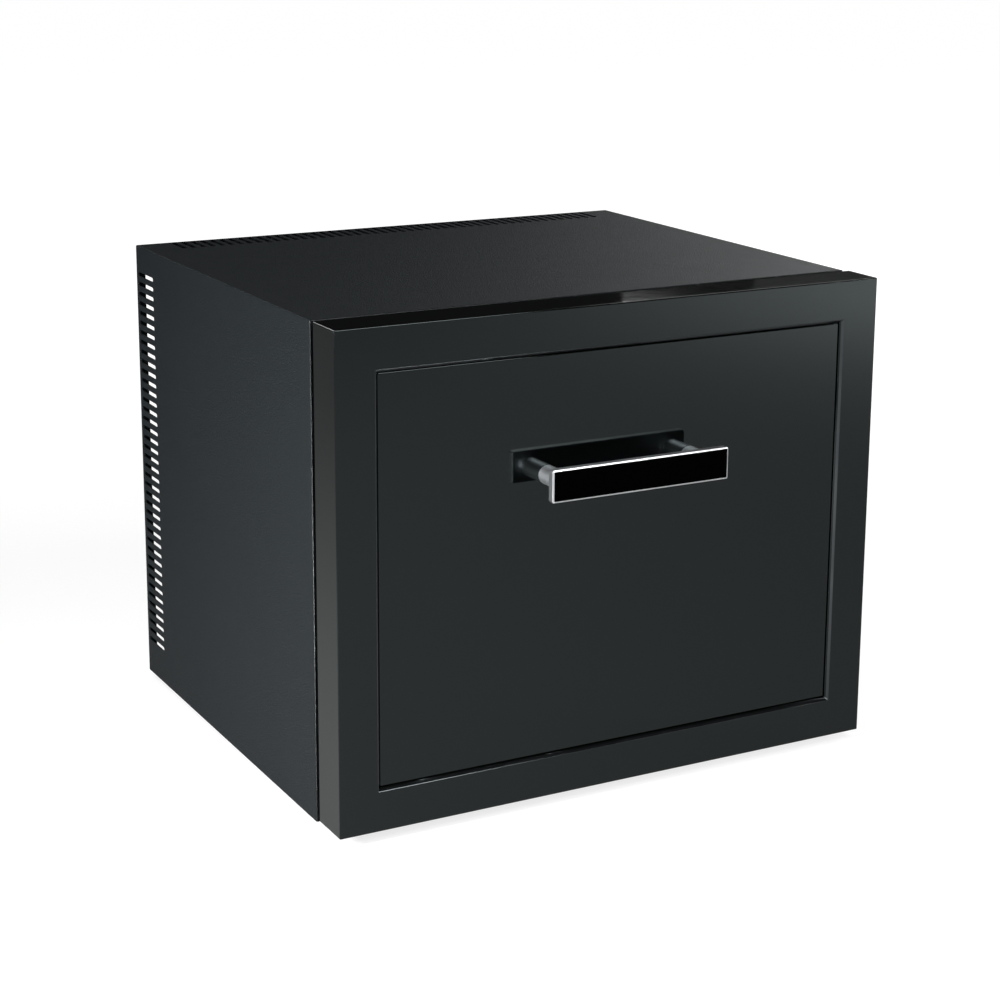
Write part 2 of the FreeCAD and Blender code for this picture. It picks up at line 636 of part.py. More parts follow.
def make_casing():
    """Sheet folded over the top and both sides, with its edges returned inward and slots at the back."""
    body = new_body("outer_casing")
    wrap = [(-half_width, bottom_z), (-half_width, top_z), (half_width, top_z), (half_width, bottom_z),
            (inside_x, bottom_z), (inside_x, inside_top), (-inside_x, inside_top), (-inside_x, bottom_z)]
    pad(body, "XZ", (front_y, rear_y), [wrap])
    for edge_in, span in ((of("front_return"), (front_y, front_y + of("steel"))),
                          (of("rear_return"), (rear_y - of("steel"), rear_y))):
        hole_x = half_width - edge_in
        hole_top = top_z - edge_in
        pad(body, "XZ", span, [[(-inside_x, bottom_z), (-inside_x, inside_top), (inside_x, inside_top),
                                (inside_x, bottom_z), (hole_x, bottom_z), (hole_x, hole_top),
                                (-hole_x, hole_top), (-hole_x, bottom_z)]])
    lip_x = half_width - of("bottom_return")
    for x in ((-inside_x, -lip_x), (lip_x, inside_x)):
        pad(body, "XY", (bottom_z, floor_low), [corner_box(x, (front_y, rear_y))])
    round_edges(body, is_fold, of("fold_radius"))
    for side in (-1, 1):
        start = -half_width if side < 0 else inside_x
        sketch = new_sketch(body, "YZ", start)
        middle = rear_y - of("side_slot_margin") - of("side_slot_length") / 2
        draw_slot(sketch, (middle, bottom_z + of("side_slot_first")), of("side_slot_length") / 2,
                  of("side_slot_height") / 2, False)
        slot = pocket_sketch(body, sketch, "YZ", of("steel"))
        repeat(body, slot, "Z_Axis", of("side_slots"), spacing(of("cabinet_height") - of("side_slot_first") -
                                                               of("side_slot_last"), of("side_slots")))
    sketch = new_sketch(body, "XY", inside_top)
    first = of("top_slot_side") - half_width
    middle = rear_y - of("top_slot_margin") - of("top_slot_length") / 2
    draw_slot(sketch, (first, middle), of("top_slot_length") / 2, of("top_slot_width") / 2, True)
    slot = pocket_sketch(body, sketch, "XY", of("steel"))
    repeat(body, slot, "X_Axis", of("top_slots"), spacing(-first * 2, of("top_slots")))
    drill(body, "XY", (bottom_z, floor_low), casing_screw_places(), of("base_screw_radius") + of("running_fit"))
    return node(body)


def is_fold(limits):
    """The casing's outer fold edges: two long ones at the top and one round the front and the back."""
    on_side = at(limits.XMin, limits.XMax, half_width) or at(limits.XMin, limits.XMax, -half_width)
    on_top = at(limits.ZMin, limits.ZMax, top_z)
    at_end = at(limits.YMin, limits.YMax, front_y) or at(limits.YMin, limits.YMax, rear_y)
    return (on_side and on_top) or (on_side and at_end) or (on_top and at_end)


def casing_screw_places():
    """Screws through the bottom folds, three along each side."""
    x = half_width - of("bottom_return") / 2
    ends = (front_y + of("casing_screw_inset"), rear_y - of("casing_screw_inset"))
    return [(side * x, y) for side in (-1, 1) for y in (ends[0], (ends[0] + ends[1]) / 2, ends[1])]


def foot_places():
    """The four feet by name."""
    x = half_width - of("foot_inset")
    ends = {"front": front_y + of("foot_end_inset"), "rear": rear_y - of("foot_end_inset")}
    sides = (("left", -1), ("right", 1))
    return {f"foot_{end}_{name}": (side * x, y) for end, y in ends.items() for name, side in sides}


def make_base():
    """Base plate on the casing's bottom folds, with a fold up at the front and the back and air slots."""
    body = new_body("base_plate")
    plate_x = inside_x - of("fit_gap")
    plate_front = front_y + of("steel")
    plate_back = rear_y - of("steel") - of("fit_gap")
    pad(body, "XY", (floor_low, floor_high), [corner_box(both(plate_x), (plate_front, plate_back))])
    pad(body, "XZ", (front_y, plate_front), [corner_box(both(seat_x - of("fit_gap")), (floor_low, seat_low))])
    fold_x = half_width - of("base_fold_inset")
    pad(body, "XZ", (plate_back - of("steel"), plate_back),
        [corner_box(both(fold_x), (floor_high, floor_low + of("base_fold")))])
    sketch = new_sketch(body, "XY", floor_low)
    first = of("base_slot_side") - half_width
    middle = rear_y - of("base_slot_margin") - of("base_slot_length") / 2
    draw_slot(sketch, (first, middle), of("base_slot_length") / 2, of("base_slot_width") / 2, True)
    slot = pocket_sketch(body, sketch, "XY", of("steel"))
    repeat(body, slot, "X_Axis", of("base_slots"), spacing(-first * 2, of("base_slots")))
    holes = casing_screw_places() + list(foot_places().values())
    drill(body, "XY", (floor_low, floor_high), holes, of("base_screw_radius") + of("running_fit"))
    return node(body)


def make_feet():
    """Rubber feet, hollowed from below for the screw's head, and the screws of the feet and the casing."""
    screws = []
    for name, (x, y) in foot_places().items():
        body = new_body(name)
        sketch = new_sketch(body, "XZ", ZERO)
        hole = of("base_screw_radius") + of("running_fit")
        pit = of("base_screw_head") + of("fit_gap")
        shelf = of("foot_height") / 2
        wide = of("foot_radius") + of("foot_flare")
        draw_loop(sketch, [(pit, ZERO), (of("foot_radius"), ZERO), (wide, floor_low), (hole, floor_low),
                           (hole, shelf), (pit, shelf)])
        turned = body.newObject("PartDesign::Revolution", name + "_turned")
        turned.Profile = sketch
        turned.ReferenceAxis = (sketch, ["V_Axis"])
        put(body, x, y, ZERO)
        node(body)
        screws.append(base_screw(name + "_screw", x, y, shelf))
    for i, (x, y) in enumerate(casing_screw_places()):
        screws.append(base_screw(f"casing_screw_{i}", x, y, bottom_z))
    node(group("base_screws", screws))


def base_screw(name, x, y, seat):
    """Upright screw with its head below a seat and its shank reaching up from there."""
    height = of("base_head_height")
    shank = rod(name + "_shank", "z", x, y, seat, of("base_screw_radius"), of("base_screw_length"))
    cap = rod(name + "_head", "z", x, y, seat - height, of("base_screw_head"), height)
    return fuse(name, [shank, cap])


def inlet_z():
    """Level at which both pipes pass through the rear wall."""
    return condenser_z - of("inlet_drop")


def wall_holes():
    """Where the two pipes pass through the rear wall."""
    return [(condenser_x, inlet_z()), (return_x, inlet_z())]


def make_bulkhead():
    """Steel plate behind the insulation that carries the cooling unit."""
    body = new_body("rear_bulkhead")
    pad(body, "XZ", (bulkhead_front, bulkhead_back), [corner_box(both(inside_x), (floor_high, inside_top))])
    drill(body, "XZ", (bulkhead_front, bulkhead_back), wall_holes(), of("pipe_radius") + of("running_fit"))
    return node(body)


def make_liner():
    """Plastic cavity, open at the front, with a rim that meets the gasket's seat."""
    body = new_body("inner_liner")
    rim_x = seat_x - of("fit_gap")
    rim = (seat_low + of("fit_gap"), seat_high - of("fit_gap"))
    pad(body, "XZ", (front_y, shell_back), [corner_box(both(shell_x), (shell_low, shell_high))])
    pad(body, "XZ", (front_y, front_y + of("liner_wall")), [corner_box(both(rim_x), rim)])
    pocket(body, "XZ", (front_y, cavity_back), [corner_box(both(cavity_x), (cavity_low, cavity_high))])
    round_edges(body, is_cavity_corner, of("cavity_radius"))
    drill(body, "XZ", (cavity_back, shell_back), wall_holes(), of("pipe_radius") + of("running_fit"))
    radius = of("rail_screw_radius") + of("running_fit")
    for start in (-shell_x, cavity_x):
        drill(body, "YZ", (start, start + of("liner_wall")), [(y, rail_z) for y in rail_screw_places()], radius)
    return node(body)


def is_cavity_corner(limits):
    """The four long inner corners of the cavity."""
    on_side = at(limits.XMin, limits.XMax, cavity_x) or at(limits.XMin, limits.XMax, -cavity_x)
    on_end = at(limits.ZMin, limits.ZMax, cavity_low) or at(limits.ZMin, limits.ZMax, cavity_high)
    return on_side and on_end


def rail_screw_places():
    """Runner screws along the runner: first, middle and last."""
    first, last = rail_front + of("rail_screw_setback"), rail_back - of("rail_screw_setback")
    return [first, (first + last) / 2, last]


def backing_span(side):
    """The backing plate's place across the wall, on one side."""
    near, far = shell_x, shell_x + of("backing_steel")
    return (near, far) if side > 0 else (-far, -near)


def backing_level():
    """The backing plate's bottom and top."""
    return (rail_z - of("backing_height") / 2, rail_z + of("backing_height") / 2)


def switch_span():
    """Width and level of the reed switch and its magnet."""
    middle = top_z - of("switch_drop")
    return both(of("switch_width") / 2), (middle - of("switch_height") / 2, middle + of("switch_height") / 2)


def make_insulation():
    """Foam between casing and liner, with room for what is foamed in."""
    block = box("foam_block", both(inside_x), (front_y + of("steel"), bulkhead_front), (floor_high, inside_top))
    tools = [box("foam_cavity", both(shell_x), (front_y, shell_back), (shell_low, shell_high)),
             box("foam_rim", both(seat_x), (front_y, front_y + of("liner_wall")), (seat_low, seat_high))]
    for name, side in (("left", -1), ("right", 1)):
        tools.append(box(f"foam_backing_{name}", backing_span(side), (rail_front, rail_back), backing_level()))
    for i, (x, z) in enumerate(wall_holes()):
        tools.append(rod(f"foam_pipe_{i}", "y", x, shell_back, z, of("pipe_radius") + of("running_fit"),
                         bulkhead_front - shell_back))
    for i, (x, y) in enumerate(casing_screw_places()):
        tools.append(rod(f"foam_screw_{i}", "z", x, y, floor_high, of("base_screw_radius") + of("running_fit"),
                         of("base_screw_length")))
    x, z = switch_span()
    tools.append(box("foam_switch", x, (front_y, front_y + of("liner_wall") + of("switch_depth")), z))
    return node(cut("cabinet_insulation", block, tools))


def make_reed_switch():
    """Sealed switch behind the liner's rim that lights the lamp when the drawer's magnet leaves."""
    x, z = switch_span()
    start = front_y + of("liner_wall")
    node(box("reed_switch", x, (start, start + of("switch_depth")), z))
    node(box("reed_magnet", x, (liner_y - of("switch_depth"), liner_y), z))


# ---------------------------------------------------------------------------------------------------------
# Full-extension runners. A section point is given from the liner's wall inward and up from the centre.


def section(side, points):
    """Runner section points as places, mirrored on the right."""
    return [(side * (cavity_x - u), rail_z + v) for u, v in points]


def channel(web, reach, height, thickness):
    """C section: web at one depth, two edges reaching to another."""
    inner = web + thickness
    low = height - thickness
    return [(web, -height), (reach, -height), (reach, -low), (inner, -low),
            (inner, low), (reach, low), (reach, height), (web, height)]


def outer_section():
    """C section with small lips that keep the balls in."""
    height, reach, thick, lip = of("rail_half_height"), of("outer_reach"), of("rail_steel"), of("rail_lip")
    inner = height - thick
    return [(ZERO, -height), (reach, -height), (reach, lip - height), (reach - thick, lip - height),
            (reach - thick, -inner), (thick, -inner), (thick, inner), (reach - thick, inner),
            (reach - thick, height - lip), (reach, height - lip), (reach, height), (ZERO, height)]


def middle_half():
    """Middle member, centre to edge."""
    return of("rail_half_height") - of("rail_steel") - of("race_gap")


def inner_half():
    """Inner member, centre to edge."""
    return middle_half() - of("rail_steel") - of("race_gap")


def inner_section():
    """C section that opens towards the wall."""
    height = inner_half()
    low = height - of("rail_steel")
    web = of("rail_depth") - of("rail_steel")
    near, far = of("inner_start"), of("rail_depth")
    return [(near, -height), (far, -height), (far, height), (near, height),
            (near, low), (web, low), (web, -low), (near, -low)]


def make_member(name, side, points):
    """One rolled runner member."""
    body = new_body(name)
    pad(body, "XZ", (rail_front, rail_back), [section(side, points)])
    return body


def make_outer(name, side):
    """Outer member with countersunk holes, its screws and the plate that they bite."""
    body = make_member(f"outer_rail_{name}", side, outer_section())
    wall = side * cavity_x
    web = side * (cavity_x - of("rail_steel"))
    low, high = (wall, web) if side < 0 else (web, wall)
    centres = [(y, rail_z) for y in rail_screw_places()]
    radius = of("rail_screw_radius") + of("running_fit")
    drill(body, "YZ", (low, high), centres, radius)
    pit = of("rail_steel") / 2
    head_low, head_high = (high - pit, high) if side < 0 else (low, low + pit)
    drill(body, "YZ", (head_low, head_high), centres, of("rail_screw_head") + of("running_fit"))
    node(body)
    backing = new_body(f"rail_backing_{name}")
    pad(backing, "YZ", backing_span(side), [corner_box((rail_front, rail_back), backing_level())])
    drill(backing, "YZ", backing_span(side), centres, radius)
    node(backing)
    return rail_screws(name, side)


def rail_screws(name, side):
    """Flush screws through the runner and the liner into the backing plate."""
    screws = []
    pit = of("rail_steel") / 2
    reach = of("rail_steel") - pit + of("liner_wall") + of("backing_steel")
    web = cavity_x - of("rail_steel")
    for i, y in enumerate(rail_screw_places()):
        head_x, shank_x = (web, web + pit) if side > 0 else (-(web + pit), -(web + pit + reach))
        head = rod(f"rail_screw_head_{name}_{i}", "x", head_x, y, rail_z, of("rail_screw_head"), pit)
        shank = rod(f"rail_screw_shank_{name}_{i}", "x", shank_x, y, rail_z, of("rail_screw_radius"), reach)
        screws.append(fuse(f"rail_screw_{name}_{i}", [head, shank]))
    return screws


def make_cage(name, side, web, reach, ball_v, ball_u):
    """Ball cage: a thin channel with a row of holes in each edge, and the balls in them."""
    body = new_body(name + "_strip")
    start = rail_front + (rail_length - of("cage_length")) / 2
    half = ball_v + of("cage_steel") / 2
    strip = channel(web, reach, half, of("cage_steel"))
    pad(body, "XZ", (start, start + of("cage_length")), [section(side, strip)])
    x = side * (cavity_x - ball_u)
    first = start + (of("cage_length") - (of("balls") - 1) * of("ball_pitch")) / 2
    hole = drill(body, "XY", (rail_z - half, rail_z + half), [(x, first)], of("ball_radius") + of("ball_play"))
    repeat(body, hole, "Y_Axis", of("balls"), of("ball_pitch"))
    pieces = [body]
    for step in range(round(of("balls").value)):
        for end, v in (("low", -ball_v), ("high", ball_v)):
            ball = doc.addObject("Part::Sphere", f"{name}_ball_{end}_{step}")
            bind(ball, Radius=of("ball_radius"))
            pieces.append(put(ball, x, first + of("ball_pitch") * step, rail_z + v))
    return node(group(name, pieces))


def make_runners():
    """Both runners, left and right."""
    screws = []
    outer_ball = of("rail_half_height") - of("rail_steel") - of("race_gap") / 2
    inner_ball = middle_half() - of("rail_steel") - of("race_gap") / 2
    for name, side in (("left", -1), ("right", 1)):
        screws += make_outer(name, side)
        middle = channel(of("middle_start"), of("middle_reach"), middle_half(), of("rail_steel"))
        node(make_member(f"middle_rail_{name}", side, middle))
        node(make_member(f"inner_rail_{name}", side, inner_section()))
        make_cage(f"outer_cage_{name}", side, of("outer_cage_start"), of("outer_cage_reach"), outer_ball,
                  of("outer_ball_place"))
        make_cage(f"inner_cage_{name}", side, of("inner_cage_start"), of("inner_cage_reach"), inner_ball,
                  of("inner_ball_place"))
    node(group("rail_screws", screws))


# ---------------------------------------------------------------------------------------------------------
# Absorption cooling unit on the bulkhead.


def pipe(name, route, radius, bend):
    """Round pipe along axis-parallel runs, with a quarter bend at each corner. The route is a list of
    (x, y, z) corners, and each step is (axis, sign) with its length worked out from the corners."""
    pieces = []
    steps = []
    for start, end in zip(route, route[1:]):
        axis = next(i for i in range(3) if abs(end[i].value - start[i].value) > 1e-6)
        steps.append((axis, 1 if end[axis].value > start[axis].value else -1))
    for i, (axis, sign) in enumerate(steps):
        trim_start = bend if i > 0 else ZERO
        trim_end = bend if i < len(steps) - 1 else ZERO
        near, far = list(route[i]), list(route[i + 1])
        near[axis] = near[axis] + trim_start * sign
        far[axis] = far[axis] - trim_end * sign
        low, high = (near, far) if sign > 0 else (far, near)
        pieces.append(rod(f"{name}_run_{i}", "xyz"[axis], *low, radius, high[axis] - low[axis]))
    for i in range(1, len(route) - 1):
        pieces.append(quarter_bend(f"{name}_bend_{i}", route[i], steps[i - 1], steps[i], radius, bend))
    return fuse(name, pieces)


def quarter_bend(name, corner, step_in, step_out, radius, bend):
    """Quarter torus that takes a pipe from one axis to another at a corner."""
    torus = doc.addObject("Part::Torus", name)
    bind(torus, Radius1=bend, Radius2=radius)
    torus.Angle3 = 90
    axis_in, sign_in = step_in
    axis_out, sign_out = step_out
    toward_in = Vector()
    toward_in[axis_in] = sign_in
    away_out = Vector()
    away_out[axis_out] = -sign_out
    centre = list(corner)
    centre[axis_in] = centre[axis_in] - bend * sign_in
    centre[axis_out] = centre[axis_out] + bend * sign_out
    # The arc runs from the outgoing side's opposite to the incoming direction, seen from the centre.
    start, end = away_out, toward_in
    turn = Rotation(start, end, start.cross(end), "XYZ")
    return put(torus, *centre, turn)


def half_bend(name, x, y, z, side, radius, bend):
    """Half torus that joins two level runs of the coil on its left (-1) or right (1)."""
    torus = doc.addObject("Part::Torus", name)
    bind(torus, Radius1=bend, Radius2=radius)
    torus.Angle3 = 180
    start = Vector(0, 0, -side)
    turn = Rotation(start, Vector(side, 0, 0), start.cross(Vector(side, 0, 0)), "XYZ")
    return put(torus, x, y, z, turn)


def make_condenser():
    """Pipe from the boiler's top along the back under the top slots and into the cavity, with its fins."""
    z = condenser_z
    route = [(boiler_x, unit_y, top_z - of("boiler_drop")), (boiler_x, unit_y, z), (condenser_x, unit_y, z),
             (condenser_x, unit_y, inlet_z()), (condenser_x, cavity_back, inlet_z())]
    node(pipe("condenser_pipe", route, of("pipe_radius"), of("pipe_bend")))
    first = condenser_x + of("fin_left_gap")
    pitch = spacing(boiler_x - of("fin_right_gap") - of("fin_wall") - first, of("fins"))
    span_y = (unit_y - of("fin_depth") / 2, unit_y + of("fin_depth") / 2)
    span_z = (z - of("fin_height") / 2, z + of("fin_height") / 2)
    fins = []
    for i in range(round(of("fins").value)):
        x = first + pitch * i
        plate = box(f"fin_plate_{i}", (x, x + of("fin_wall")), span_y, span_z)
        hole = rod(f"fin_hole_{i}", "x", x, unit_y, z, of("pipe_radius") + of("running_fit"), of("fin_wall"))
        fins.append(cut(f"fin_{i}", plate, [hole]))
    node(group("condenser_fins", fins))


def vessel_tool(name):
    """The absorber vessel's plain cylinder, for what is shaped to it."""
    return rod(name, "x", vessel_left, unit_y, bottom_z + of("vessel_level"), of("vessel_radius"),
               of("vessel_length"))


def make_absorber():
    """Vessel, the coil above it, the return pipe, the solution pipe and two saddle brackets."""
    level = bottom_z + of("vessel_level")
    body = new_body("absorber_vessel")
    sketch = new_sketch(body, "YZ", vessel_left)
    draw_circle(sketch, (unit_y, level), of("vessel_radius"))
    solid = body.newObject("PartDesign::Pad", "absorber_vessel_pad")
    solid.Profile = sketch
    bind(solid, Length=of("vessel_length"))
    doc.recompute()
    round_edges(body, lambda limits: limits.XLength < 1e-6, of("vessel_dome"))
    node(body)
    return_y = bulkhead_back + of("return_offset")
    route = [(return_x, cavity_back, inlet_z()), (return_x, return_y, inlet_z()), (return_x, return_y, level)]
    pipes = pipe("return_pipe_whole", route, of("pipe_radius"), of("pipe_bend"))
    node(cut("return_pipe", pipes, [vessel_tool("return_pipe_vessel")]))
    node(rod("solution_pipe", "x", vessel_right, unit_y, level, of("solution_radius"), cover_left - vessel_right))
    for name, x in (("left", vessel_left + of("saddle_inset")),
                    ("right", vessel_right - of("saddle_inset") - of("saddle_width"))):
        block = box(f"saddle_block_{name}", (x, x + of("saddle_width")), (bulkhead_back, unit_y),
                    (level - of("saddle_height") / 2, level + of("saddle_height") / 2))
        node(cut(f"vessel_saddle_{name}", block, [vessel_tool(f"saddle_vessel_{name}")]))


def make_coil():
    """Serpentine tube from the vessel up to the boiler cover, in six level runs."""
    y = bulkhead_back + of("coil_offset")
    left = of("coil_inset") - half_width
    right = left + of("coil_length")
    half = of("coil_pitch") / 2
    pieces = []
    count = round(of("coil_runs").value)
    levels = [bottom_z + of("coil_first") + of("coil_pitch") * i for i in range(count)]
    for i, z in enumerate(levels):
        end = cover_left if i == count - 1 else right
        pieces.append(rod(f"coil_run_{i}", "x", left, y, z, of("coil_radius"), end - left))
    for i, z in enumerate(levels[:-1]):
        side = -1 if i % 2 == 0 else 1
        x = left if side < 0 else right
        pieces.append(half_bend(f"coil_bend_{i}", x, y, z + half, side, of("coil_radius"), half))
    down = of("coil_drop_bend")
    corner = (right + down, y, levels[0])
    pieces.append(quarter_bend("coil_drop", corner, (0, 1), (2, -1), of("coil_radius"), down))
    foot = bottom_z + of("vessel_level")
    pieces.append(rod("coil_foot", "z", right + down, y, foot, of("coil_radius"), levels[0] - down - foot))
    whole = fuse("coil_whole", pieces)
    node(cut("absorber_coil", whole, [vessel_tool("coil_vessel")]))


def cover_box(name, wall):
    """The boiler cover's block, drawn in by a wall all round except at the bulkhead."""
    return box(name, (cover_left + wall, cover_right - wall),
               (bulkhead_back, bulkhead_back + of("cover_depth") - wall),
               (bottom_z + of("cover_bottom") + wall, top_z - of("cover_drop") - wall))


def boiler_rod(name):
    """The boiler tube's cylinder."""
    bottom = bottom_z + of("boiler_bottom")
    return rod(name, "z", boiler_x, unit_y, bottom, of("boiler_radius"), top_z - of("boiler_drop") - bottom)


def heater_rod(name):
    """The heater cartridge's cylinder, beside the boiler tube."""
    return rod(name, "z", boiler_x - of("heater_offset"), unit_y, bottom_z + of("boiler_bottom"),
               of("heater_radius"), of("heater_length"))


def make_boiler():
    """Boiler tube and heater in mineral wool, under a sheet cover on the bulkhead."""
    node(boiler_rod("boiler_tube"))
    node(heater_rod("heater_cartridge"))
    wool = cover_box("wool_block", of("steel"))
    node(cut("boiler_insulation", wool, [boiler_rod("wool_tube"), heater_rod("wool_heater")]))
    outside = cover_box("cover_block", ZERO)
    node(cut("boiler_cover", outside, [cover_box("cover_inside", of("steel")), boiler_rod("cover_hole")]))


def make_cold_plate():
    """Finned aluminium plate on the cavity's back wall, fed by the two pipes."""
    body = new_body("cold_plate")
    high = cavity_high - of("plate_drop")
    level = (high - of("plate_height"), high)
    back = cavity_back - of("plate_thickness")
    pad(body, "XZ", (back, cavity_back), [corner_box(both(of("plate_width") / 2), level)])
    first = -((of("plate_ribs") - 1) * of("rib_pitch") + of("rib_wall")) / 2
    rib = pad(body, "XZ", (back - of("rib_depth"), back), [corner_box((first, first + of("rib_wall")), level)])
    repeat(body, rib, "X_Axis", of("plate_ribs"), of("rib_pitch"))
    return node(body)


# ---------------------------------------------------------------------------------------------------------
# Electrics: terminal box and gland at the back, thermostat and lamp in the cavity.


def make_terminal_box():
    """Plastic box on the bulkhead where the supply enters through a gland."""
    right = cover_left - of("terminal_gap")
    left = right - of("terminal_width")
    low = bottom_z + of("terminal_bottom")
    high = low + of("terminal_height")
    back = bulkhead_back + of("terminal_depth")
    wall = of("terminal_wall")
    body = new_body("terminal_box")
    pad(body, "XZ", (bulkhead_back, back), [corner_box((left, right), (low, high))])
    inside = corner_box((left + wall, right - wall), (low + wall, high - wall))
    pocket(body, "XZ", (bulkhead_back, back - wall), [inside])
    centre = ((left + right) / 2, (low + high) / 2)
    drill(body, "XZ", (back - wall, back), [centre], of("gland_radius") + of("running_fit"))
    shortest = of("terminal_height").value / 2
    round_edges(body, lambda limits: at(limits.YMin, limits.YMax, back) and limits.DiagonalLength > shortest,
                of("terminal_wall") / 2)
    node(body)
    gland = new_body("cable_gland")
    sketch = new_sketch(gland, "XZ", ZERO)
    bore, collar, nut = of("gland_bore"), of("gland_radius"), of("gland_nut")
    draw_loop(sketch, [(bore, -wall), (collar, -wall), (collar, ZERO), (nut, ZERO), (nut, of("gland_flange")),
                       (collar, of("gland_flange")), (collar, of("gland_length")), (bore, of("gland_length"))])
    turned = gland.newObject("PartDesign::Revolution", "gland_turned")
    turned.Profile = sketch
    turned.ReferenceAxis = (sketch, ["V_Axis"])
    put(gland, centre[0], back, centre[1], Rotation(Vector(1, 0, 0), -90))
    node(gland)


def knob_place():
    """The knob's axis: x and z."""
    return (housing_right - of("knob_inset"), cavity_high - of("housing_height") / 2)


def make_thermostat():
    """Housing under the cavity's ceiling with a lamp behind a lens, and the knob on its front."""
    left = housing_right - of("housing_width")
    near = front_y + of("housing_setback")
    far = near + of("housing_depth")
    low = cavity_high - of("housing_height")
    body = new_body("thermostat_housing")
    pad(body, "XY", (low, cavity_high), [corner_box((left, housing_right), (near, far))])
    round_edges(body, lambda limits: limits.ZLength > 1 and limits.XLength + limits.YLength < 1e-6,
                of("housing_radius"))
    lens_x = (left + of("lens_inset"), left + of("lens_inset") + of("lens_width"))
    lens_y = ((near + far - of("lens_depth")) / 2, (near + far + of("lens_depth")) / 2)
    ledge = of("lens_ledge")
    pocket(body, "XY", (low + of("housing_wall"), cavity_high), [corner_box(lens_x, lens_y)])
    pocket(body, "XY", (low, low + of("housing_wall")),
           [corner_box((lens_x[0] + ledge, lens_x[1] - ledge), (lens_y[0] + ledge, lens_y[1] - ledge))])
    radius = of("knob_shaft_radius") + of("running_fit")
    drill(body, "XZ", (near, near + of("knob_shaft_length")), [knob_place()], radius)
    node(body)
    make_lamp(lens_x, lens_y, low + of("housing_wall"))
    make_knob(near)


def make_lamp(lens_x, lens_y, seat):
    """Lens tray on the housing's ledge, and the board with its lights on the tray's rim."""
    play = of("fit_gap")
    x = (lens_x[0] + play, lens_x[1] - play)
    y = (lens_y[0] + play, lens_y[1] - play)
    rim = seat + of("lens_rim")
    lens = new_body("lamp_lens")
    pad(lens, "XY", (seat, rim), [corner_box(x, y)])
    wall = of("lens_thickness")
    pocket(lens, "XY", (seat + wall, rim), [corner_box((x[0] + wall, x[1] - wall), (y[0] + wall, y[1] - wall))])
    node(lens)
    board = new_body("lamp_board")
    pad(board, "XY", (rim, rim + of("board_thickness")), [corner_box(x, y)])
    size = of("lamp_size") / 2
    middle = (x[0] + x[1]) / 2
    first = (y[0] + y[1]) / 2 - (of("lamps") - 1) * of("lamp_pitch") / 2
    light = pad(board, "XY", (rim - of("lamp_height"), rim),
                [corner_box((middle - size, middle + size), (first - size, first + size))])
    repeat(board, light, "Y_Axis", of("lamps"), of("lamp_pitch"))
    node(board)


def make_knob(seat):
    """Round knob with a raised grip across it, and its shaft in the housing."""
    x, z = knob_place()
    back = seat - of("knob_gap")
    disc_front = back - of("knob_disc")
    front = back - of("knob_depth")
    body = new_body("thermostat_knob")
    sketch = new_sketch(body, "XZ", disc_front)
    draw_circle(sketch, (x, z), of("knob_radius"))
    disc = body.newObject("PartDesign::Pad", "knob_disc_pad")
    disc.Profile = sketch
    disc.Reversed = True
    bind(disc, Length=of("knob_disc"))
    doc.recompute()
    half = of("knob_grip") / 2
    tip = of("knob_radius") - of("knob_rim")
    pad(body, "XZ", (front, disc_front), [corner_box((x - half, x + half), (z - tip, z + tip))])
    sketch = new_sketch(body, "XZ", back)
    draw_circle(sketch, (x, z), of("knob_shaft_radius"))
    shaft = body.newObject("PartDesign::Pad", "knob_shaft_pad")
    shaft.Profile = sketch
    shaft.Reversed = True
    bind(shaft, Length=of("knob_gap") + of("knob_shaft_length") - of("fit_gap"))
    doc.recompute()
    return node(body)


# ---------------------------------------------------------------------------------------------------------
# Drawer front.


def window(extra):
    """The frame's opening, widened all round by a margin: its x and z spans."""
    inset = of("border_width") + of("bevel") - extra
    return both(front_x - inset), (front_low + inset, front_high - inset)


def make_front_frame():
    """Front frame: a face with a bevelled opening and four side walls, hollow behind."""
    body = new_body("front_frame")
    outside = corner_box(both(front_x), (front_low, front_high))
    pad(body, "XZ", (face_y, back_y), [outside])
    round_edges(body, is_front_edge, of("front_edge_radius"))
    wall = of("frame_wall")
    hollow = corner_box(both(front_x - wall), (front_low + wall, front_high - wall))
    pocket(body, "XZ", (panel_y, back_y), [hollow])
    pocket(body, "XZ", (face_y, panel_y), [corner_box(*window(0))])
    x, z = window(0)
    inside = max(x[1].value, z[1].value)

    def is_window_edge(limits):
        in_width = limits.XMax < x[1].value + 1 and limits.XMin > x[0].value - 1
        return at(limits.YMin, limits.YMax, face_y) and in_width and limits.ZMax < inside + 1

    slope_edges(body, is_window_edge, of("bevel"))
    return node(body)


def is_front_edge(limits):
    """Edges of the front block that face forward, and its four upright and level corners."""
    return at(limits.YMin, limits.YMax, face_y) or limits.YLength > 1


def make_panel():
    """Recessed gloss panel behind the frame's opening, drilled for the handle."""
    body = new_body("front_panel")
    pad(body, "XZ", (panel_y, panel_back), [corner_box(*window(of("panel_overlap")))])
    drill(body, "XZ", (panel_y, panel_back), [(-post_x, handle_z), (post_x, handle_z)],
          of("handle_screw_radius") + of("running_fit"))
    return node(body)


def pan_span(inset):
    """The front liner's raised pan, drawn in by a margin: its x and z spans."""
    side = cavity_x - of("pan_side_inset") - inset
    return both(side), (cavity_low + of("pan_end_inset") + inset, cavity_high - of("pan_end_inset") - inset)


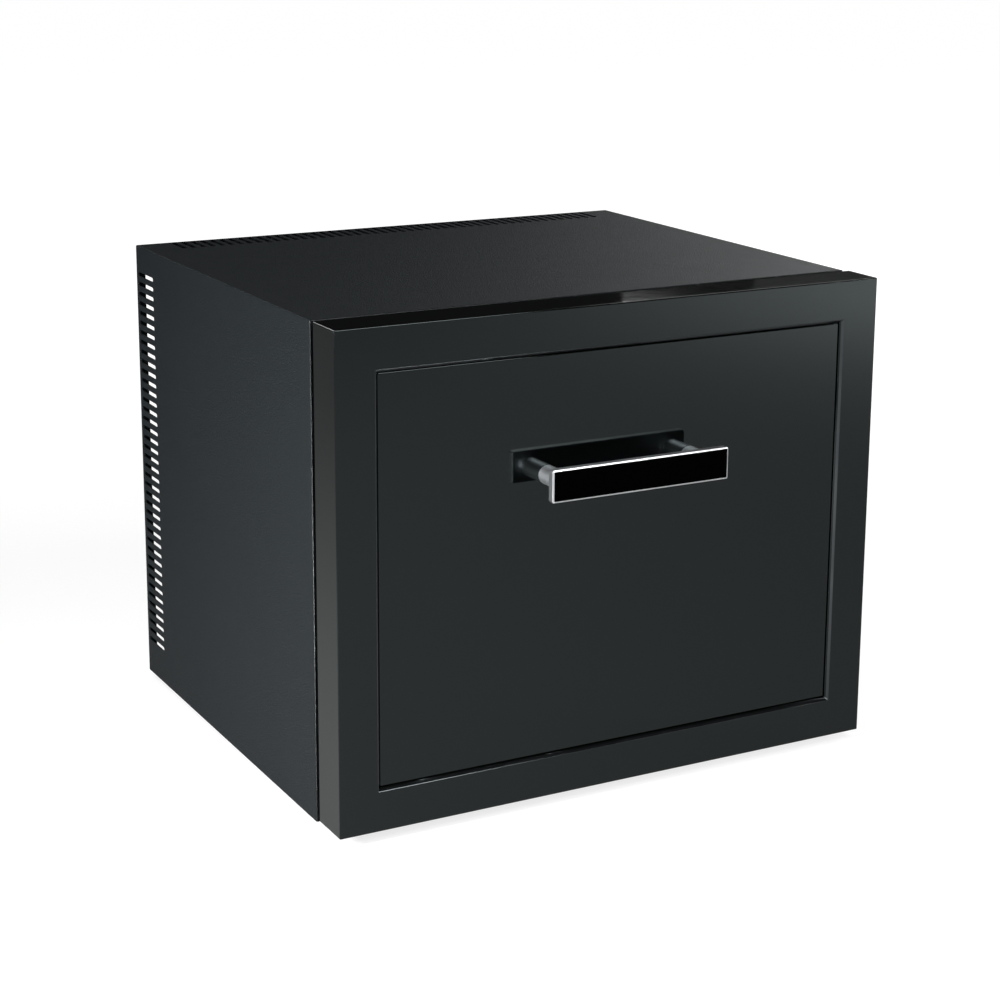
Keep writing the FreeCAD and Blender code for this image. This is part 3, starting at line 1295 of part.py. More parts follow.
def make_front_insulation():
    """Foam that fills the front frame and the front liner's pan."""
    wall = of("frame_wall")
    level = (front_low + wall, front_high - wall)
    block = box("front_foam_block", both(front_x - wall), (panel_y, liner_y), level)
    pan_x, pan_z = pan_span(of("liner_wall"))
    boss = box("front_foam_boss", pan_x, (liner_y, front_y + of("pan_entry") - of("liner_wall")), pan_z)
    panel_x, panel_z = window(of("panel_overlap"))
    tools = [box("front_foam_panel", panel_x, (panel_y, panel_back), panel_z)]
    for name, side in (("left", -1), ("right", 1)):
        tools.append(rod(f"front_foam_head_{name}", "y", side * post_x, panel_back, handle_z,
                         of("handle_head_radius") + of("fit_gap"), of("handle_head_height") + of("fit_gap")))
    x, z = switch_span()
    tools.append(box("front_foam_magnet", x, (liner_y - of("switch_depth"), liner_y), z))
    for i, (x, z) in enumerate(bracket_screw_places()):
        tools.append(rod(f"front_foam_screw_{i}", "y", x, bracket_screw_tip(), z,
                         of("drawer_screw_radius") + of("running_fit"), liner_y - bracket_screw_tip()))
    whole = fuse("front_foam_whole", [block, boss])
    return node(cut("front_insulation", whole, tools))


def bracket_screw_places():
    """Screws through the side plates' folds into the front: x and z."""
    x = side_in - of("side_fold") / 2
    levels = (rail_z - of("side_below") * 2 / 3, rail_z + of("side_above") * 2 / 3)
    return [(side * x, z) for side in (-1, 1) for z in levels]


def bracket_screw_tip():
    """How far forward those screws reach."""
    return back_y + of("side_steel") - of("drawer_screw_length")


def make_front_liner():
    """Plastic back of the drawer front, with a raised pan that enters the cavity."""
    body = new_body("front_liner")
    edge = of("frame_wall") + of("fit_gap")
    pad(body, "XZ", (liner_y, back_y), [corner_box(both(front_x - edge), (front_low + edge, front_high - edge))])
    pan_back = front_y + of("pan_entry")
    pad(body, "XZ", (back_y, pan_back), [corner_box(*pan_span(ZERO))])
    pan_x, pan_z = pan_span(of("liner_wall"))
    pocket(body, "XZ", (liner_y, pan_back - of("liner_wall")), [corner_box(pan_x, pan_z)])
    drill(body, "XZ", (liner_y, back_y), bracket_screw_places(), of("drawer_screw_radius") + of("running_fit"))
    return node(body)


def ring(inset, width):
    """Loops of a frame that lies a distance in from the casing's outside: outer and inner rectangle."""
    outer, inner = inset, inset + width
    return [corner_box(both(half_width - outer), (bottom_z + outer, top_z - outer)),
            corner_box(both(half_width - inner), (bottom_z + inner, top_z - inner))]


def make_gasket():
    """Soft seal: a foot on the front liner and a narrower bulb towards the casing."""
    body = new_body("door_gasket")
    foot_back = back_y + of("gasket_foot")
    pad(body, "XZ", (back_y, foot_back), ring(of("gasket_inset"), of("gasket_width")))
    inset = of("gasket_inset") + (of("gasket_width") - of("bulb_width")) / 2
    pad(body, "XZ", (foot_back, front_y - of("seal_gap")), ring(inset, of("bulb_width")))
    return node(body)


def make_handle():
    """Handle bar with an insert in its face, two posts and the screws from inside the front."""
    half = of("handle_length") / 2
    level = (handle_z - of("handle_height") / 2, handle_z + of("handle_height") / 2)
    body = new_body("handle_bar")
    pad(body, "XZ", (handle_y, bar_back), [corner_box(both(half), level)])
    round_edges(body, lambda limits: True, of("handle_edge"))
    lip = of("insert_lip")
    pocket(body, "XZ", (handle_y, handle_y + of("insert_depth")),
           [corner_box(both(half - lip), (level[0] + lip, level[1] - lip))])
    hole = of("spigot_radius") + of("running_fit")
    depth = of("spigot_length") + of("fit_gap")
    drill(body, "XZ", (bar_back - depth, bar_back), [(-post_x, handle_z), (post_x, handle_z)], hole)
    node(body)
    edge = lip + of("insert_play")
    node(box("handle_insert", both(half - edge), (handle_y + of("insert_play"), handle_y + of("insert_depth")),
             (level[0] + edge, level[1] - edge)))
    screws = []
    for name, side in (("left", -1), ("right", 1)):
        make_post(f"handle_post_{name}", side * post_x)
        bite = of("handle_screw_bite")
        shank = rod(f"handle_screw_shank_{name}", "y", side * post_x, panel_y - bite, handle_z,
                    of("handle_screw_radius"), bite + of("panel_thickness"))
        head = rod(f"handle_screw_head_{name}", "y", side * post_x, panel_back, handle_z,
                   of("handle_head_radius"), of("handle_head_height"))
        screws.append(fuse(f"handle_screw_{name}", [shank, head]))
    node(group("handle_screws", screws))


def make_post(name, x):
    """Turned post with a spigot at the bar and a threaded hole at the panel."""
    body = new_body(name)
    length = panel_y - bar_back
    hole = of("handle_screw_radius") + of("running_fit")
    bite = of("handle_screw_bite") + of("fit_gap")
    sketch = new_sketch(body, "XZ", ZERO)
    draw_loop(sketch, [(ZERO, -of("spigot_length")), (of("spigot_radius"), -of("spigot_length")),
                       (of("spigot_radius"), ZERO), (of("post_radius"), ZERO), (of("post_radius"), length),
                       (hole, length), (hole, length - bite), (ZERO, length - bite)])
    turned = body.newObject("PartDesign::Revolution", name + "_turned")
    turned.Profile = sketch
    turned.ReferenceAxis = (sketch, ["V_Axis"])
    put(body, x, bar_back, handle_z, Rotation(Vector(1, 0, 0), -90))
    return node(body)


# ---------------------------------------------------------------------------------------------------------
# Drawer body behind the front.


def make_side_plate(name, side):
    """Steel side plate that carries the inner rail, folded inward against the front liner."""
    body = new_body(f"drawer_side_{name}")
    level = (rail_z - of("side_below"), side_top)
    outer, inner, fold = side * side_out, side * side_in, side * (side_in - of("side_fold"))
    low, high = (outer, inner) if side < 0 else (inner, outer)
    pad(body, "XZ", (back_y, rail_back), [corner_box((low, high), level)])
    fold_span = (inner, fold) if side < 0 else (fold, inner)
    pad(body, "XZ", (back_y, back_y + of("side_steel")), [corner_box(fold_span, level)])
    radius = of("drawer_screw_radius") + of("running_fit")
    centres = [place for place in bracket_screw_places() if place[0].value * side > 0]
    drill(body, "XZ", (back_y, back_y + of("side_steel")), centres, radius)
    return node(body)


def make_drawer_screws():
    """Screws that hold the side plates' folds to the drawer front."""
    screws = []
    seat = back_y + of("side_steel")
    for i, (x, z) in enumerate(bracket_screw_places()):
        shank = rod(f"drawer_shank_{i}", "y", x, bracket_screw_tip(), z, of("drawer_screw_radius"),
                    of("drawer_screw_length"))
        head = rod(f"drawer_head_{i}", "y", x, seat, z, of("drawer_head_radius"), of("drawer_head_height"))
        screws.append(fuse(f"drawer_screw_{i}", [shank, head]))
    node(group("drawer_screws", screws))


def make_basket():
    """Plastic tub between the side plates, hung by its rim on their top edges."""
    body = new_body("basket")
    out_x = side_in - of("basket_play")
    near = front_y + of("basket_start")
    far = near + of("basket_depth")
    low = cavity_low + of("basket_rise")
    wall = of("basket_wall")
    pad(body, "XY", (low, side_top + wall), [corner_box(both(out_x), (near, far))])
    round_edges(body, lambda limits: limits.ZLength > 1, of("basket_radius"))
    rim_x = side_in + of("basket_rim")
    for x in ((-rim_x, -out_x + wall), (out_x - wall, rim_x)):
        inset = of("basket_radius")
        pad(body, "XY", (side_top, side_top + wall), [corner_box(x, (near + inset, far - inset))])
    inside = corner_box(both(out_x - wall), (near + wall, far - wall))
    pocket(body, "XY", (low + wall, side_top + wall), [inside])
    inside_edge = out_x.value - wall.value
    round_edges(body, lambda limits: limits.ZLength > limits.XLength + limits.YLength + 1 and
                abs(abs(limits.XMin) - inside_edge) < 1e-3, of("basket_radius") - wall)
    return node(body)


def basket_inside():
    """The basket's inner side, floor and front and back faces."""
    wall = of("basket_wall")
    near = front_y + of("basket_start") + wall
    return side_in - of("basket_play") - wall, cavity_low + of("basket_rise") + wall, near, \
        near + of("basket_depth") - wall * 2


def make_partitions():
    """Fixed partition from front to back, and a divider that slides in the wide bay beside it."""
    side, floor, near, far = basket_inside()
    place = -of("partition_place")
    wall = of("partition_wall")
    body = new_body("basket_partition")
    pad(body, "XY", (floor, floor + of("partition_height")), [corner_box((place, place + wall), (near, far))])
    node(body)
    divider = new_body("sliding_divider")
    play = of("divider_play")
    x = (place + wall + play, side - play)
    y = near + of("divider_place")
    low = floor + of("rest_gap")
    pad(divider, "XY", (low, low + of("divider_height")), [corner_box(x, (y, y + of("divider_wall")))])
    pad(divider, "XY", (low, low + of("divider_wall")),
        [corner_box(x, (y + of("divider_wall"), y + of("divider_foot")))])
    node(divider)


make_casing()
make_base()
make_feet()
make_bulkhead()
make_liner()
make_insulation()
make_reed_switch()
make_runners()
make_condenser()
make_absorber()
make_coil()
make_boiler()
make_cold_plate()
make_terminal_box()
make_thermostat()
make_front_frame()
make_panel()
make_front_insulation()
make_front_liner()
make_gasket()
make_handle()
make_side_plate("left", -1)
make_side_plate("right", 1)
make_drawer_screws()
make_basket()
make_partitions()
doc.recompute()

for thing in doc.Objects:
    if "Invalid" in thing.State or "Error" in thing.State:
        raise RuntimeError(f"{thing.Label} failed: {thing.State}")
for piece in NODES:
    if piece.Shape.isNull() or not piece.Shape.isValid() or not piece.Shape.Solids:
        raise RuntimeError(f"{piece.Label} has no valid shape")

os.makedirs("parts", exist_ok=True)
for piece in NODES:
    piece.Shape.exportStep(f"parts/{piece.Label}.step")
print(len(NODES), "pieces written")
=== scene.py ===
import bpy
import numpy as np
from mathutils import Matrix, Vector


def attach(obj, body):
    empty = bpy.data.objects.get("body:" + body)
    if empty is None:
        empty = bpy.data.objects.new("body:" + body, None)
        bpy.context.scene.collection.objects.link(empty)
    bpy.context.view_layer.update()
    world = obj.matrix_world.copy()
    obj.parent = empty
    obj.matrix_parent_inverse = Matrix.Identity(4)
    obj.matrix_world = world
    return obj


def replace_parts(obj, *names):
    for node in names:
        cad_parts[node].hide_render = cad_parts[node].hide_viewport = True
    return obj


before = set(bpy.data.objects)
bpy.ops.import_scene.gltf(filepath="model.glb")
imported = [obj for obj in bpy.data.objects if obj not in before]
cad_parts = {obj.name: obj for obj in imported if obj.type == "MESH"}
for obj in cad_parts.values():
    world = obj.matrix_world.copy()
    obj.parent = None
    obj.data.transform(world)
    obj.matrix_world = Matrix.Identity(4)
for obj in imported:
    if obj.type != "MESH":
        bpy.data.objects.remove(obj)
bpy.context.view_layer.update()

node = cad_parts

# ---------------------------------------------------------------------------------------------------------
# The camera: a long lens, left of the drawer front and a little above the cabinet, tipped down at it.

eye = Vector((-0.8664, -1.6037, 0.7108))
looks_along = Vector((0.46265, 0.85631, -0.22954))
points_right = Vector((0.88041, -0.47418, 0.00556))
camera_data = bpy.data.cameras.new("camera")
camera_data.sensor_width = 36
camera_data.lens = 79.33
camera_data.shift_y = -0.10
camera_data.clip_end = 60
camera = bpy.data.objects.new("camera", camera_data)
bpy.context.scene.collection.objects.link(camera)
turn = Matrix((points_right, points_right.cross(looks_along), -looks_along)).transposed()
camera.matrix_world = Matrix.Translation(eye) @ turn.to_4x4()
bpy.context.scene.camera = camera

# ---------------------------------------------------------------------------------------------------------
# The studio: a pale floor in a dim room that also glows with painted light, a soft key lamp in front with a
# fill overhead, a small lamp low at the left, one that lights the floor at the right, and behind the cabinet
# one at the left and three at the right.


def new_finish(name, **values):
    """A new material with a Principled shader whose own sockets hold the values. Its node tree and shader are
    returned beside it."""
    material = bpy.data.materials.new(name)
    material.use_nodes = True
    shader = material.node_tree.nodes["Principled BSDF"]
    for socket, value in values.items():
        shader.inputs[socket.replace("_", " ")].default_value = value
    return material, material.node_tree, shader


def add(tree, kind, settings=None, **inputs):
    """One more node in a tree, with its settings and its input values or the outputs that feed them. An input
    is given by its name, or by n and its number."""
    made = tree.nodes.new("ShaderNode" + kind)
    for name, value in (settings or {}).items():
        setattr(made, name, value)
    for name, value in inputs.items():
        numbered = name[0] == "n" and name[1:].isdigit()
        socket = made.inputs[int(name[1:]) if numbered else name.replace("_", " ")]
        if isinstance(value, bpy.types.NodeSocket):
            tree.links.new(value, socket)
        else:
            socket.default_value = value
    return made


FLOOR_HALF = 24
FLOOR_LEVEL = -0.0003
floor_corners = np.array([(-1, -1), (1, -1), (1, 1), (-1, 1)]) * FLOOR_HALF
floor_mesh = bpy.data.meshes.new("floor")
floor_mesh.from_pydata([(x, y, FLOOR_LEVEL) for x, y in floor_corners], [], [(0, 1, 2, 3)])
floor = bpy.data.objects.new("floor", floor_mesh)
bpy.context.scene.collection.objects.link(floor)

paper, tree, matte = new_finish("paper_sweep", Base_Color=(0.84, 0.84, 0.84, 1), Roughness=0.9)
matte.inputs["Specular IOR Level"].default_value = 0.0
rays = add(tree, "LightPath")
mirrored = add(tree, "Math", {"operation": "MAXIMUM"}, n0=rays.outputs["Is Glossy Ray"],
               n1=rays.outputs["Is Transmission Ray"])
seen = add(tree, "Math", {"operation": "MAXIMUM"}, n0=rays.outputs["Is Camera Ray"], n1=mirrored.outputs[0])
floor_place = add(tree, "TexCoord").outputs["Object"]


def level_by_distance(centre, near, far, near_level, far_level):
    """A level that changes smoothly with the distance over the floor from a centre."""
    away = add(tree, "VectorMath", {"operation": "DISTANCE"}, n0=floor_place, n1=centre)
    spread = add(tree, "MapRange", {"interpolation_type": "SMOOTHSTEP"}, Value=away.outputs["Value"],
                 From_Min=near, From_Max=far, To_Min=near_level, To_Max=far_level)
    return spread.outputs["Result"]


# The floor's glow is painted light, not lamp light. Seen by the camera the painted glow brightens outwards;
# seen in the lacquer it is a painted pool of light that darkens away from the left front.
painted_glow_level = add(tree, "MixRGB", Fac=mirrored.outputs[0],
                 Color1=level_by_distance((0, 0, 0), 0.6, 2.2, 0.76, 0.98),
                 Color2=level_by_distance((-0.9, -0.9, 0), 0.4, 2.2, 0.52, 0.12))
glow = add(tree, "Emission", Color=painted_glow_level.outputs["Color"])
dim_level = add(tree, "MixRGB", Fac=mirrored.outputs[0], Color1=(0.34, 0.34, 0.34, 1),
                Color2=(0.18, 0.18, 0.18, 1))
dim = add(tree, "BsdfDiffuse", Color=dim_level.outputs["Color"])
bright = add(tree, "AddShader", n0=glow.outputs[0], n1=dim.outputs[0])
mixed = add(tree, "MixShader", n0=seen.outputs[0], n1=matte.outputs[0], n2=bright.outputs[0])
tree.links.new(mixed.outputs[0], tree.nodes["Material Output"].inputs["Surface"])
floor_mesh.materials.append(paper)

bpy.context.scene.view_settings.view_transform = "Standard"
world = bpy.data.worlds.new("studio")
world.use_nodes = True
air = world.node_tree
room = air.nodes["Background"]
room.inputs["Color"].default_value = (0.985, 0.99, 1, 1)
upward = add(air, "SeparateXYZ", Vector=add(air, "TexCoord").outputs["Generated"])
ceiling = add(air, "MapRange", {"interpolation_type": "SMOOTHSTEP"}, Value=upward.outputs["Z"], From_Min=0.22,
              From_Max=0.80, To_Min=0.012, To_Max=0.06)
room_level = add(air, "Math", {"operation": "MAXIMUM"}, n0=ceiling.outputs["Result"],
                 n1=add(air, "LightPath").outputs["Is Camera Ray"])
air.links.new(room_level.outputs[0], room.inputs["Strength"])
bpy.context.scene.world = world


def hang_lamp(name, place, aim, size, watts):
    """Square soft lamp at a place, turned so that it shines at a point."""
    data = bpy.data.lights.new(name, "AREA")
    data.size = size
    data.energy = watts
    lamp = bpy.data.objects.new(name, data)
    bpy.context.scene.collection.objects.link(lamp)
    lamp.location = place
    lamp.rotation_euler = (Vector(aim) - Vector(place)).to_track_quat("-Z", "Y").to_euler()
    lamp.visible_camera = False


hang_lamp("key_lamp", (0.50, -1.74, 1.72), (0, -0.1, 0.25), 0.9, 27)
hang_lamp("top_lamp", (-0.5, 0.3, 2.6), (0, 0, 0.2), 1.6, 16)
hang_lamp("left_lamp", (-0.86, -0.27, 0.33), (-0.24, -0.17, 0.08), 0.12, 9)
hang_lamp("right_lamp", (1.85, -1.75, 0.8), (1.85, -1.75, 0), 0.6, 85)
hang_lamp("rear_lamp", (2.3, 1.6, 1.15), (0.15, 0.1, 0.4), 0.5, 19)
hang_lamp("corner_lamp", (1.0, 1.0, 0.95), (0.15, 0.1, 0.4), 0.5, 1.2)
hang_lamp("edge_lamp", (-0.7, 2.0, 1.5), (-0.2, -0.1, 0.4), 0.4, 5)
hang_lamp("rear_card", (2.4, 1.9, 1.1), (0, 0, 0.4), 1.4, 0.25)

# ---------------------------------------------------------------------------------------------------------
# The outer casing: one sheet of steel folded over the top and sides, slotted at the back, and finished in a
# fine-textured black powder coat that is baked on and shows a faint grain.


def dress(names, finish):
    """Give CAD nodes a finish in place of the plain one that they come with."""
    for name in names:
        slots = node[name].material_slots
        for each in slots:
            each.material = finish
        if not slots:
            node[name].data.materials.append(finish)


def mottled(tree, shader, low, high, grain, detail=4):
    """Colour that wanders between two shades as a noise of that grain, in spots per metre."""
    place = add(tree, "TexCoord")
    noise = add(tree, "TexNoise", Vector=place.outputs["Object"], Scale=grain, Detail=detail, Roughness=0.6)
    ramp = add(tree, "ValToRGB", Fac=noise.outputs["Fac"])
    ramp.color_ramp.elements[0].position = 0.32
    ramp.color_ramp.elements[0].color = (*low, 1)
    ramp.color_ramp.elements[1].position = 0.68
    ramp.color_ramp.elements[1].color = (*high, 1)
    tree.links.new(ramp.outputs["Color"], shader.inputs["Base Color"])


def grained(tree, shader, grain, height, strength=1.0, detail=3):
    """Surface relief from a noise of that grain, in spots per metre, and that height in metres."""
    place = add(tree, "TexCoord")
    noise = add(tree, "TexNoise", Vector=place.outputs["Object"], Scale=grain, Detail=detail, Roughness=0.55)
    bump = add(tree, "Bump", Height=noise.outputs["Fac"], Distance=height, Strength=strength)
    tree.links.new(bump.outputs["Normal"], shader.inputs["Normal"])


def worn(tree, shader, low, high, grain):
    """Roughness that wanders between two values as a coarse noise, as handling and wiping leave it."""
    place = add(tree, "TexCoord")
    noise = add(tree, "TexNoise", Vector=place.outputs["Object"], Scale=grain, Detail=5, Roughness=0.65)
    spread = add(tree, "MapRange", Value=noise.outputs["Fac"], From_Min=0.3, From_Max=0.7, To_Min=low,
                 To_Max=high)
    tree.links.new(spread.outputs["Result"], shader.inputs["Roughness"])


powder_coat, tree, shader = new_finish("powder_coat", Specular_IOR_Level=0.19,
                                       Specular_Tint=(0.76, 0.92, 1, 1))
mottled(tree, shader, (0.0022, 0.0032, 0.0040), (0.0140, 0.0170, 0.0190), 700, 2)
worn(tree, shader, 0.54, 0.57, 14)
grained(tree, shader, 800, 0.0007, 0.8, 2)
dress(["outer_casing"], powder_coat)

# ---------------------------------------------------------------------------------------------------------
# The casing's front edge: the sheet is turned in and rolled to a small smooth bead, and the coat lies a
# little glossier on it than on the flat.


def skin(name, points, faces, finish, body, slot, smooth=True):
    """A finished surface: points and faces as a mesh that rides on a body, with a finish. The slot is not used.
    """
    mesh = bpy.data.meshes.new(name)
    mesh.from_pydata(np.asarray(points).reshape(-1, 3), [], faces)
    mesh.polygons.foreach_set("use_smooth", np.full(len(mesh.polygons), smooth))
    mesh.materials.append(finish)
    mesh.update()
    piece = bpy.data.objects.new(name, mesh)
    bpy.context.scene.collection.objects.link(piece)
    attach(piece, body)
    return piece


def net(rows, columns, close_rows=False, close_columns=False):
    """Quads between neighbours on a grid of rows by columns, closed on itself either way if asked."""
    across, down = np.meshgrid(np.arange(columns - (not close_columns)), np.arange(rows - (not close_rows)))
    right, below = (across + 1) % columns, (down + 1) % rows
    quads = np.stack([down * columns + across, down * columns + right, below * columns + right,
                      below * columns + across], -1)
    return quads.reshape(-1, 4).tolist()


def upright_track(half_x, low, high, radius, steps=6, guard=0.0003):
    """Points once round an upright rectangle with round corners, anticlockwise from the front. A point stands
    close on either side of each arc, so that the long straights between the corners stay dead flat."""
    centres = [(half_x - radius, high - radius), (radius - half_x, high - radius),
               (radius - half_x, low + radius), (half_x - radius, low + radius)]
    points = []
    for i, centre in enumerate(centres):
        angle = np.linspace(0, np.pi / 2, steps) + i * np.pi / 2
        arc = centre + radius * np.stack([np.cos(angle), np.sin(angle)], -1)
        along = np.array([-np.sin(angle), np.cos(angle)]).T * guard
        points += [arc[:1] - along[:1], arc, arc[-1:] + along[-1:]]
    return np.vstack(points)


def pressed_rings(section, half_x, low, high):
    """A section carried round an upright rectangle. Each row of it gives how far in from the edge, how far
    back, and the corner's radius there, in millimetres."""
    rings = []
    for inset, depth, radius in np.array(section) / 1000:
        track = upright_track(half_x - inset, low + inset, high - inset, radius)
        rings.append(np.column_stack([track[:, 0], np.full(len(track), depth), track[:, 1]]))
    return np.array(rings)


def bend(centre, radius, start, end, corner, steps=5):
    """Rows of a section that follow an arc about a centre, from one angle in degrees to another. The corner's
    radius grows or shrinks with how far in the row lies."""
    angle = np.radians(np.linspace(start, end, steps))
    inset, depth = centre[0] + radius * np.cos(angle), centre[1] + radius * np.sin(angle)
    return [(a, b, corner(a)) for a, b in zip(inset, depth)]


CASING_X = 0.240
CASING_LOW, CASING_HIGH = 0.005, 0.398
bead_coat, tree, shader = new_finish("bead_coat", Specular_IOR_Level=0.30)
mottled(tree, shader, (0.004, 0.005, 0.006), (0.009, 0.011, 0.012), 900, 2)
worn(tree, shader, 0.16, 0.30, 120)
bead_section = ([(0.02, -151.5, 0.6), (0.02, -151.8, 0.6)]
                + bend((0.52, -151.8), 0.5, 180, 360, lambda inset: 0.5)
                + [(1.02, -151.5, 0.5)])
rings = pressed_rings(bead_section, CASING_X, CASING_LOW, CASING_HIGH)
skin("casing_bead", rings, net(len(rings), rings.shape[1], True, True), bead_coat, "cabinet", "casing_paint")

# ---------------------------------------------------------------------------------------------------------
# The drawer front's frame: folded steel with a bevelled window, sprayed black and baked to a mirror gloss
# with a very slight ripple.


def sprayed_gloss(name, colour, ripple):
    """Mirror-gloss black lacquer: dark ground, thin ripple over centimetres, and gloss that wanders as wiping
    leaves it.
    """
    finish, tree, shader = new_finish(name, Specular_IOR_Level=0.48, Specular_Tint=(0.86, 1, 1, 1))
    low = tuple(0.8 * part for part in colour)
    mottled(tree, shader, low, colour, 2200, 2)
    worn(tree, shader, 0.03, 0.075, 9)
    grained(tree, shader, 60, ripple, 0.5, 1)
    return finish


def outer_corner(inset):
    """Corner's radius on the front's outer edge: it shrinks by as much as the row lies further in."""
    return max(0.9 - inset, 0.05)


front_gloss = sprayed_gloss("front_gloss", (0.0011, 0.0013, 0.0014), 0.00003)
FRONT_X = 0.241
FRONT_LOW, FRONT_HIGH = 0.0085, 0.3987
# From the back of the side wall, round the front edge, over the border, into the window, and back inside.
frame_section = ([(0.5, -160.1, 0.5), (0.1, -160.1, 0.8), (0, -160.3, 0.9), (0, -160.6, 0.9),
                  (0, -196.3, 0.9)]
                 + bend((0.8, -196.6), 0.8, 180, 270, outer_corner)
                 + [(1.0, -197.4, 0.05), (31.7, -197.4, 0.05), (31.9, -197.4, 0.05), (32.1, -197.3, 0.1),
                    (34.4, -194.9, 1.0), (34.5, -194.6, 1.1), (34.5, -192.0, 1.1), (33.5, -192.0, 0.6),
                    (33.5, -194.4, 0.6), (2, -194.4, 0.05), (2, -160.1, 0.05)])
rings = pressed_rings(frame_section, FRONT_X, FRONT_LOW, FRONT_HIGH)
shell = skin("front_shell", rings, net(len(rings), rings.shape[1], True, True), front_gloss, "drawer",
             "front_gloss")
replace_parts(shell, "front_frame")

# ---------------------------------------------------------------------------------------------------------
# The window strip: a narrow band of dark-polished steel, laid on the outer half of the window's bevel and
# rolled over its edge.


def chrome_plate(name, low, high, grain, dull):
    """Chrome with faint smears that dull it here and there."""
    finish, tree, shader = new_finish(name, Metallic=1.0)
    mottled(tree, shader, low, high, 30, 2)
    worn(tree, shader, dull, dull + 0.07, grain)
    grained(tree, shader, 900, 0.000004, 0.5, 1)
    return finish


def window_corner(inset):
    """Corner's radius on the window's bevel: it grows by two fifths of how far in the row lies past the
    bevel's edge."""
    return max(0.4 * (inset - 31.8), 0.05)


strip_steel = chrome_plate("strip_steel", (0.088, 0.097, 0.102), (0.110, 0.121, 0.127), 60, 0.07)
# Once round the strip: up over the edge, down along the bevel, and back underneath.
strip_outline = [(31.95, -197.2), (31.85, -197.42), (31.9, -197.5), (32.0, -197.54), (32.15, -197.5),
                 (32.3, -197.38), (32.4, -197.28), (33.5, -196.13), (33.6, -196.02), (33.7, -195.86),
                 (33.68, -195.7), (33.4, -195.75), (32.2, -196.95)]
strip_section = [(inset, depth, window_corner(inset)) for inset, depth in strip_outline]
rings = pressed_rings(strip_section, FRONT_X, FRONT_LOW, FRONT_HIGH)
skin("window_strip", rings, net(len(rings), rings.shape[1], True, True), strip_steel, "drawer",
     "handle_chrome")

# ---------------------------------------------------------------------------------------------------------
# The front panel: a shallow steel tray with a rounded edge, lacquered to the same mirror gloss as the frame
# and set back in its window, clear of the bevel all round.


def capped(rings):
    """Faces of a skin of rings that run from back to front, with its first and last ring filled in."""
    count = rings.shape[1]
    last = (len(rings) - 1) * count
    return net(len(rings), count, False, True) + [list(range(count))[::-1], [last + i for i in range(count)]]


panel_gloss = sprayed_gloss("panel_gloss", (0.0010, 0.0012, 0.0013), 0.000015)
# From the middle of the back, round the hidden flange, up out of the joint and on to the face.
panel_section = ([(27.5, -191.4, 0.3), (26.8, -191.4, 0.3), (26.5, -191.5, 0.3), (26.5, -191.9, 0.3),
                  (26.7, -191.96, 0.3), (34.7, -191.96, 1.0), (34.9, -192.1, 1.0), (34.9, -193.2, 1.0)]
                 + bend((35.9, -193.4), 1.0, 180, 270, lambda inset: max(36.0 - inset, 0.1), 7)
                 + [(36.1, -194.4, 0.1), (36.6, -194.4, 0.1)])
rings = pressed_rings(panel_section, FRONT_X, FRONT_LOW, FRONT_HIGH)
tray = skin("front_tray", rings, capped(rings), panel_gloss, "drawer", "panel_gloss")
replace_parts(tray, "front_panel")

# ---------------------------------------------------------------------------------------------------------
# The handle's bar: flat, cast and bright chromed, with softened edges and a sloping lip round its face. A
# strip of black gloss is let into the face.

bright_chrome = chrome_plate("bright_chrome", (0.80, 0.82, 0.84), (0.88, 0.90, 0.92), 60, 0.34)
BAR_X = 0.0785
BAR_LOW, BAR_HIGH = 0.25775, 0.28325
# From the middle of the back, round the back edge, over the sloping lip and down to the strip's bed.
bar_section = ([(1.6, -222.4, 0.6), (1.2, -222.4, 0.6)]
               + bend((1.0, -223.4), 1.0, 90, 180, lambda inset: 1.6 - inset)
               + [(0, -223.6, 1.6), (0, -228.2, 1.2), (0, -228.5, 1.2), (0.03, -228.68, 1.2),
                  (0.12, -228.78, 1.1), (0.3, -228.89, 1.0), (0.8, -229.17, 0.6), (1.1, -229.34, 0.4),
                  (1.16, -229.4, 0.35), (1.2, -229.3, 0.3), (1.2, -229.1, 0.3), (1.2, -227.9, 0.3),
                  (1.4, -227.88, 0.2)])
rings = pressed_rings(bar_section, BAR_X, BAR_LOW, BAR_HIGH)
grip = skin("handle_grip", rings, capped(rings), bright_chrome, "drawer", "handle_chrome")
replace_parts(grip, "handle_bar")

insert_gloss, tree, shader = new_finish("insert_gloss", Specular_IOR_Level=0.004)
mottled(tree, shader, (0.0003, 0.0003, 0.0003), (0.0007, 0.0007, 0.0007), 400, 2)
worn(tree, shader, 0.04, 0.10, 25)
dress(["handle_insert"], insert_gloss)

# ---------------------------------------------------------------------------------------------------------
# The handle's posts: turned from round bar with a coned collar under the handle's bar, chromed satin, and
# screwed on through the drawer front from inside.


def turned_rings(profile, centre, axis="y", count=40):
    """A turned piece: each row of the profile gives a place along the axis and a radius, in millimetres, and
    is carried round it. Rows run towards the lower end of the axis. A radius may be an array instead, with
    one for each of the points round."""
    angle = np.linspace(0, 2 * np.pi, count, endpoint=False)
    rings = []
    for level, radius in profile:
        radius = np.asarray(radius) / 1000
        ring = [radius * np.cos(angle), np.full(count, level / 1000), radius * np.sin(angle)]
        rings.append(np.stack(ring, -1))
    return np.roll(np.array(rings), {"x": -1, "y": 0, "z": 1}[axis], -1) + centre


satin_chrome = chrome_plate("satin_chrome", (0.78, 0.81, 0.84), (0.86, 0.89, 0.92), 90, 0.44)
POST_X = 0.064
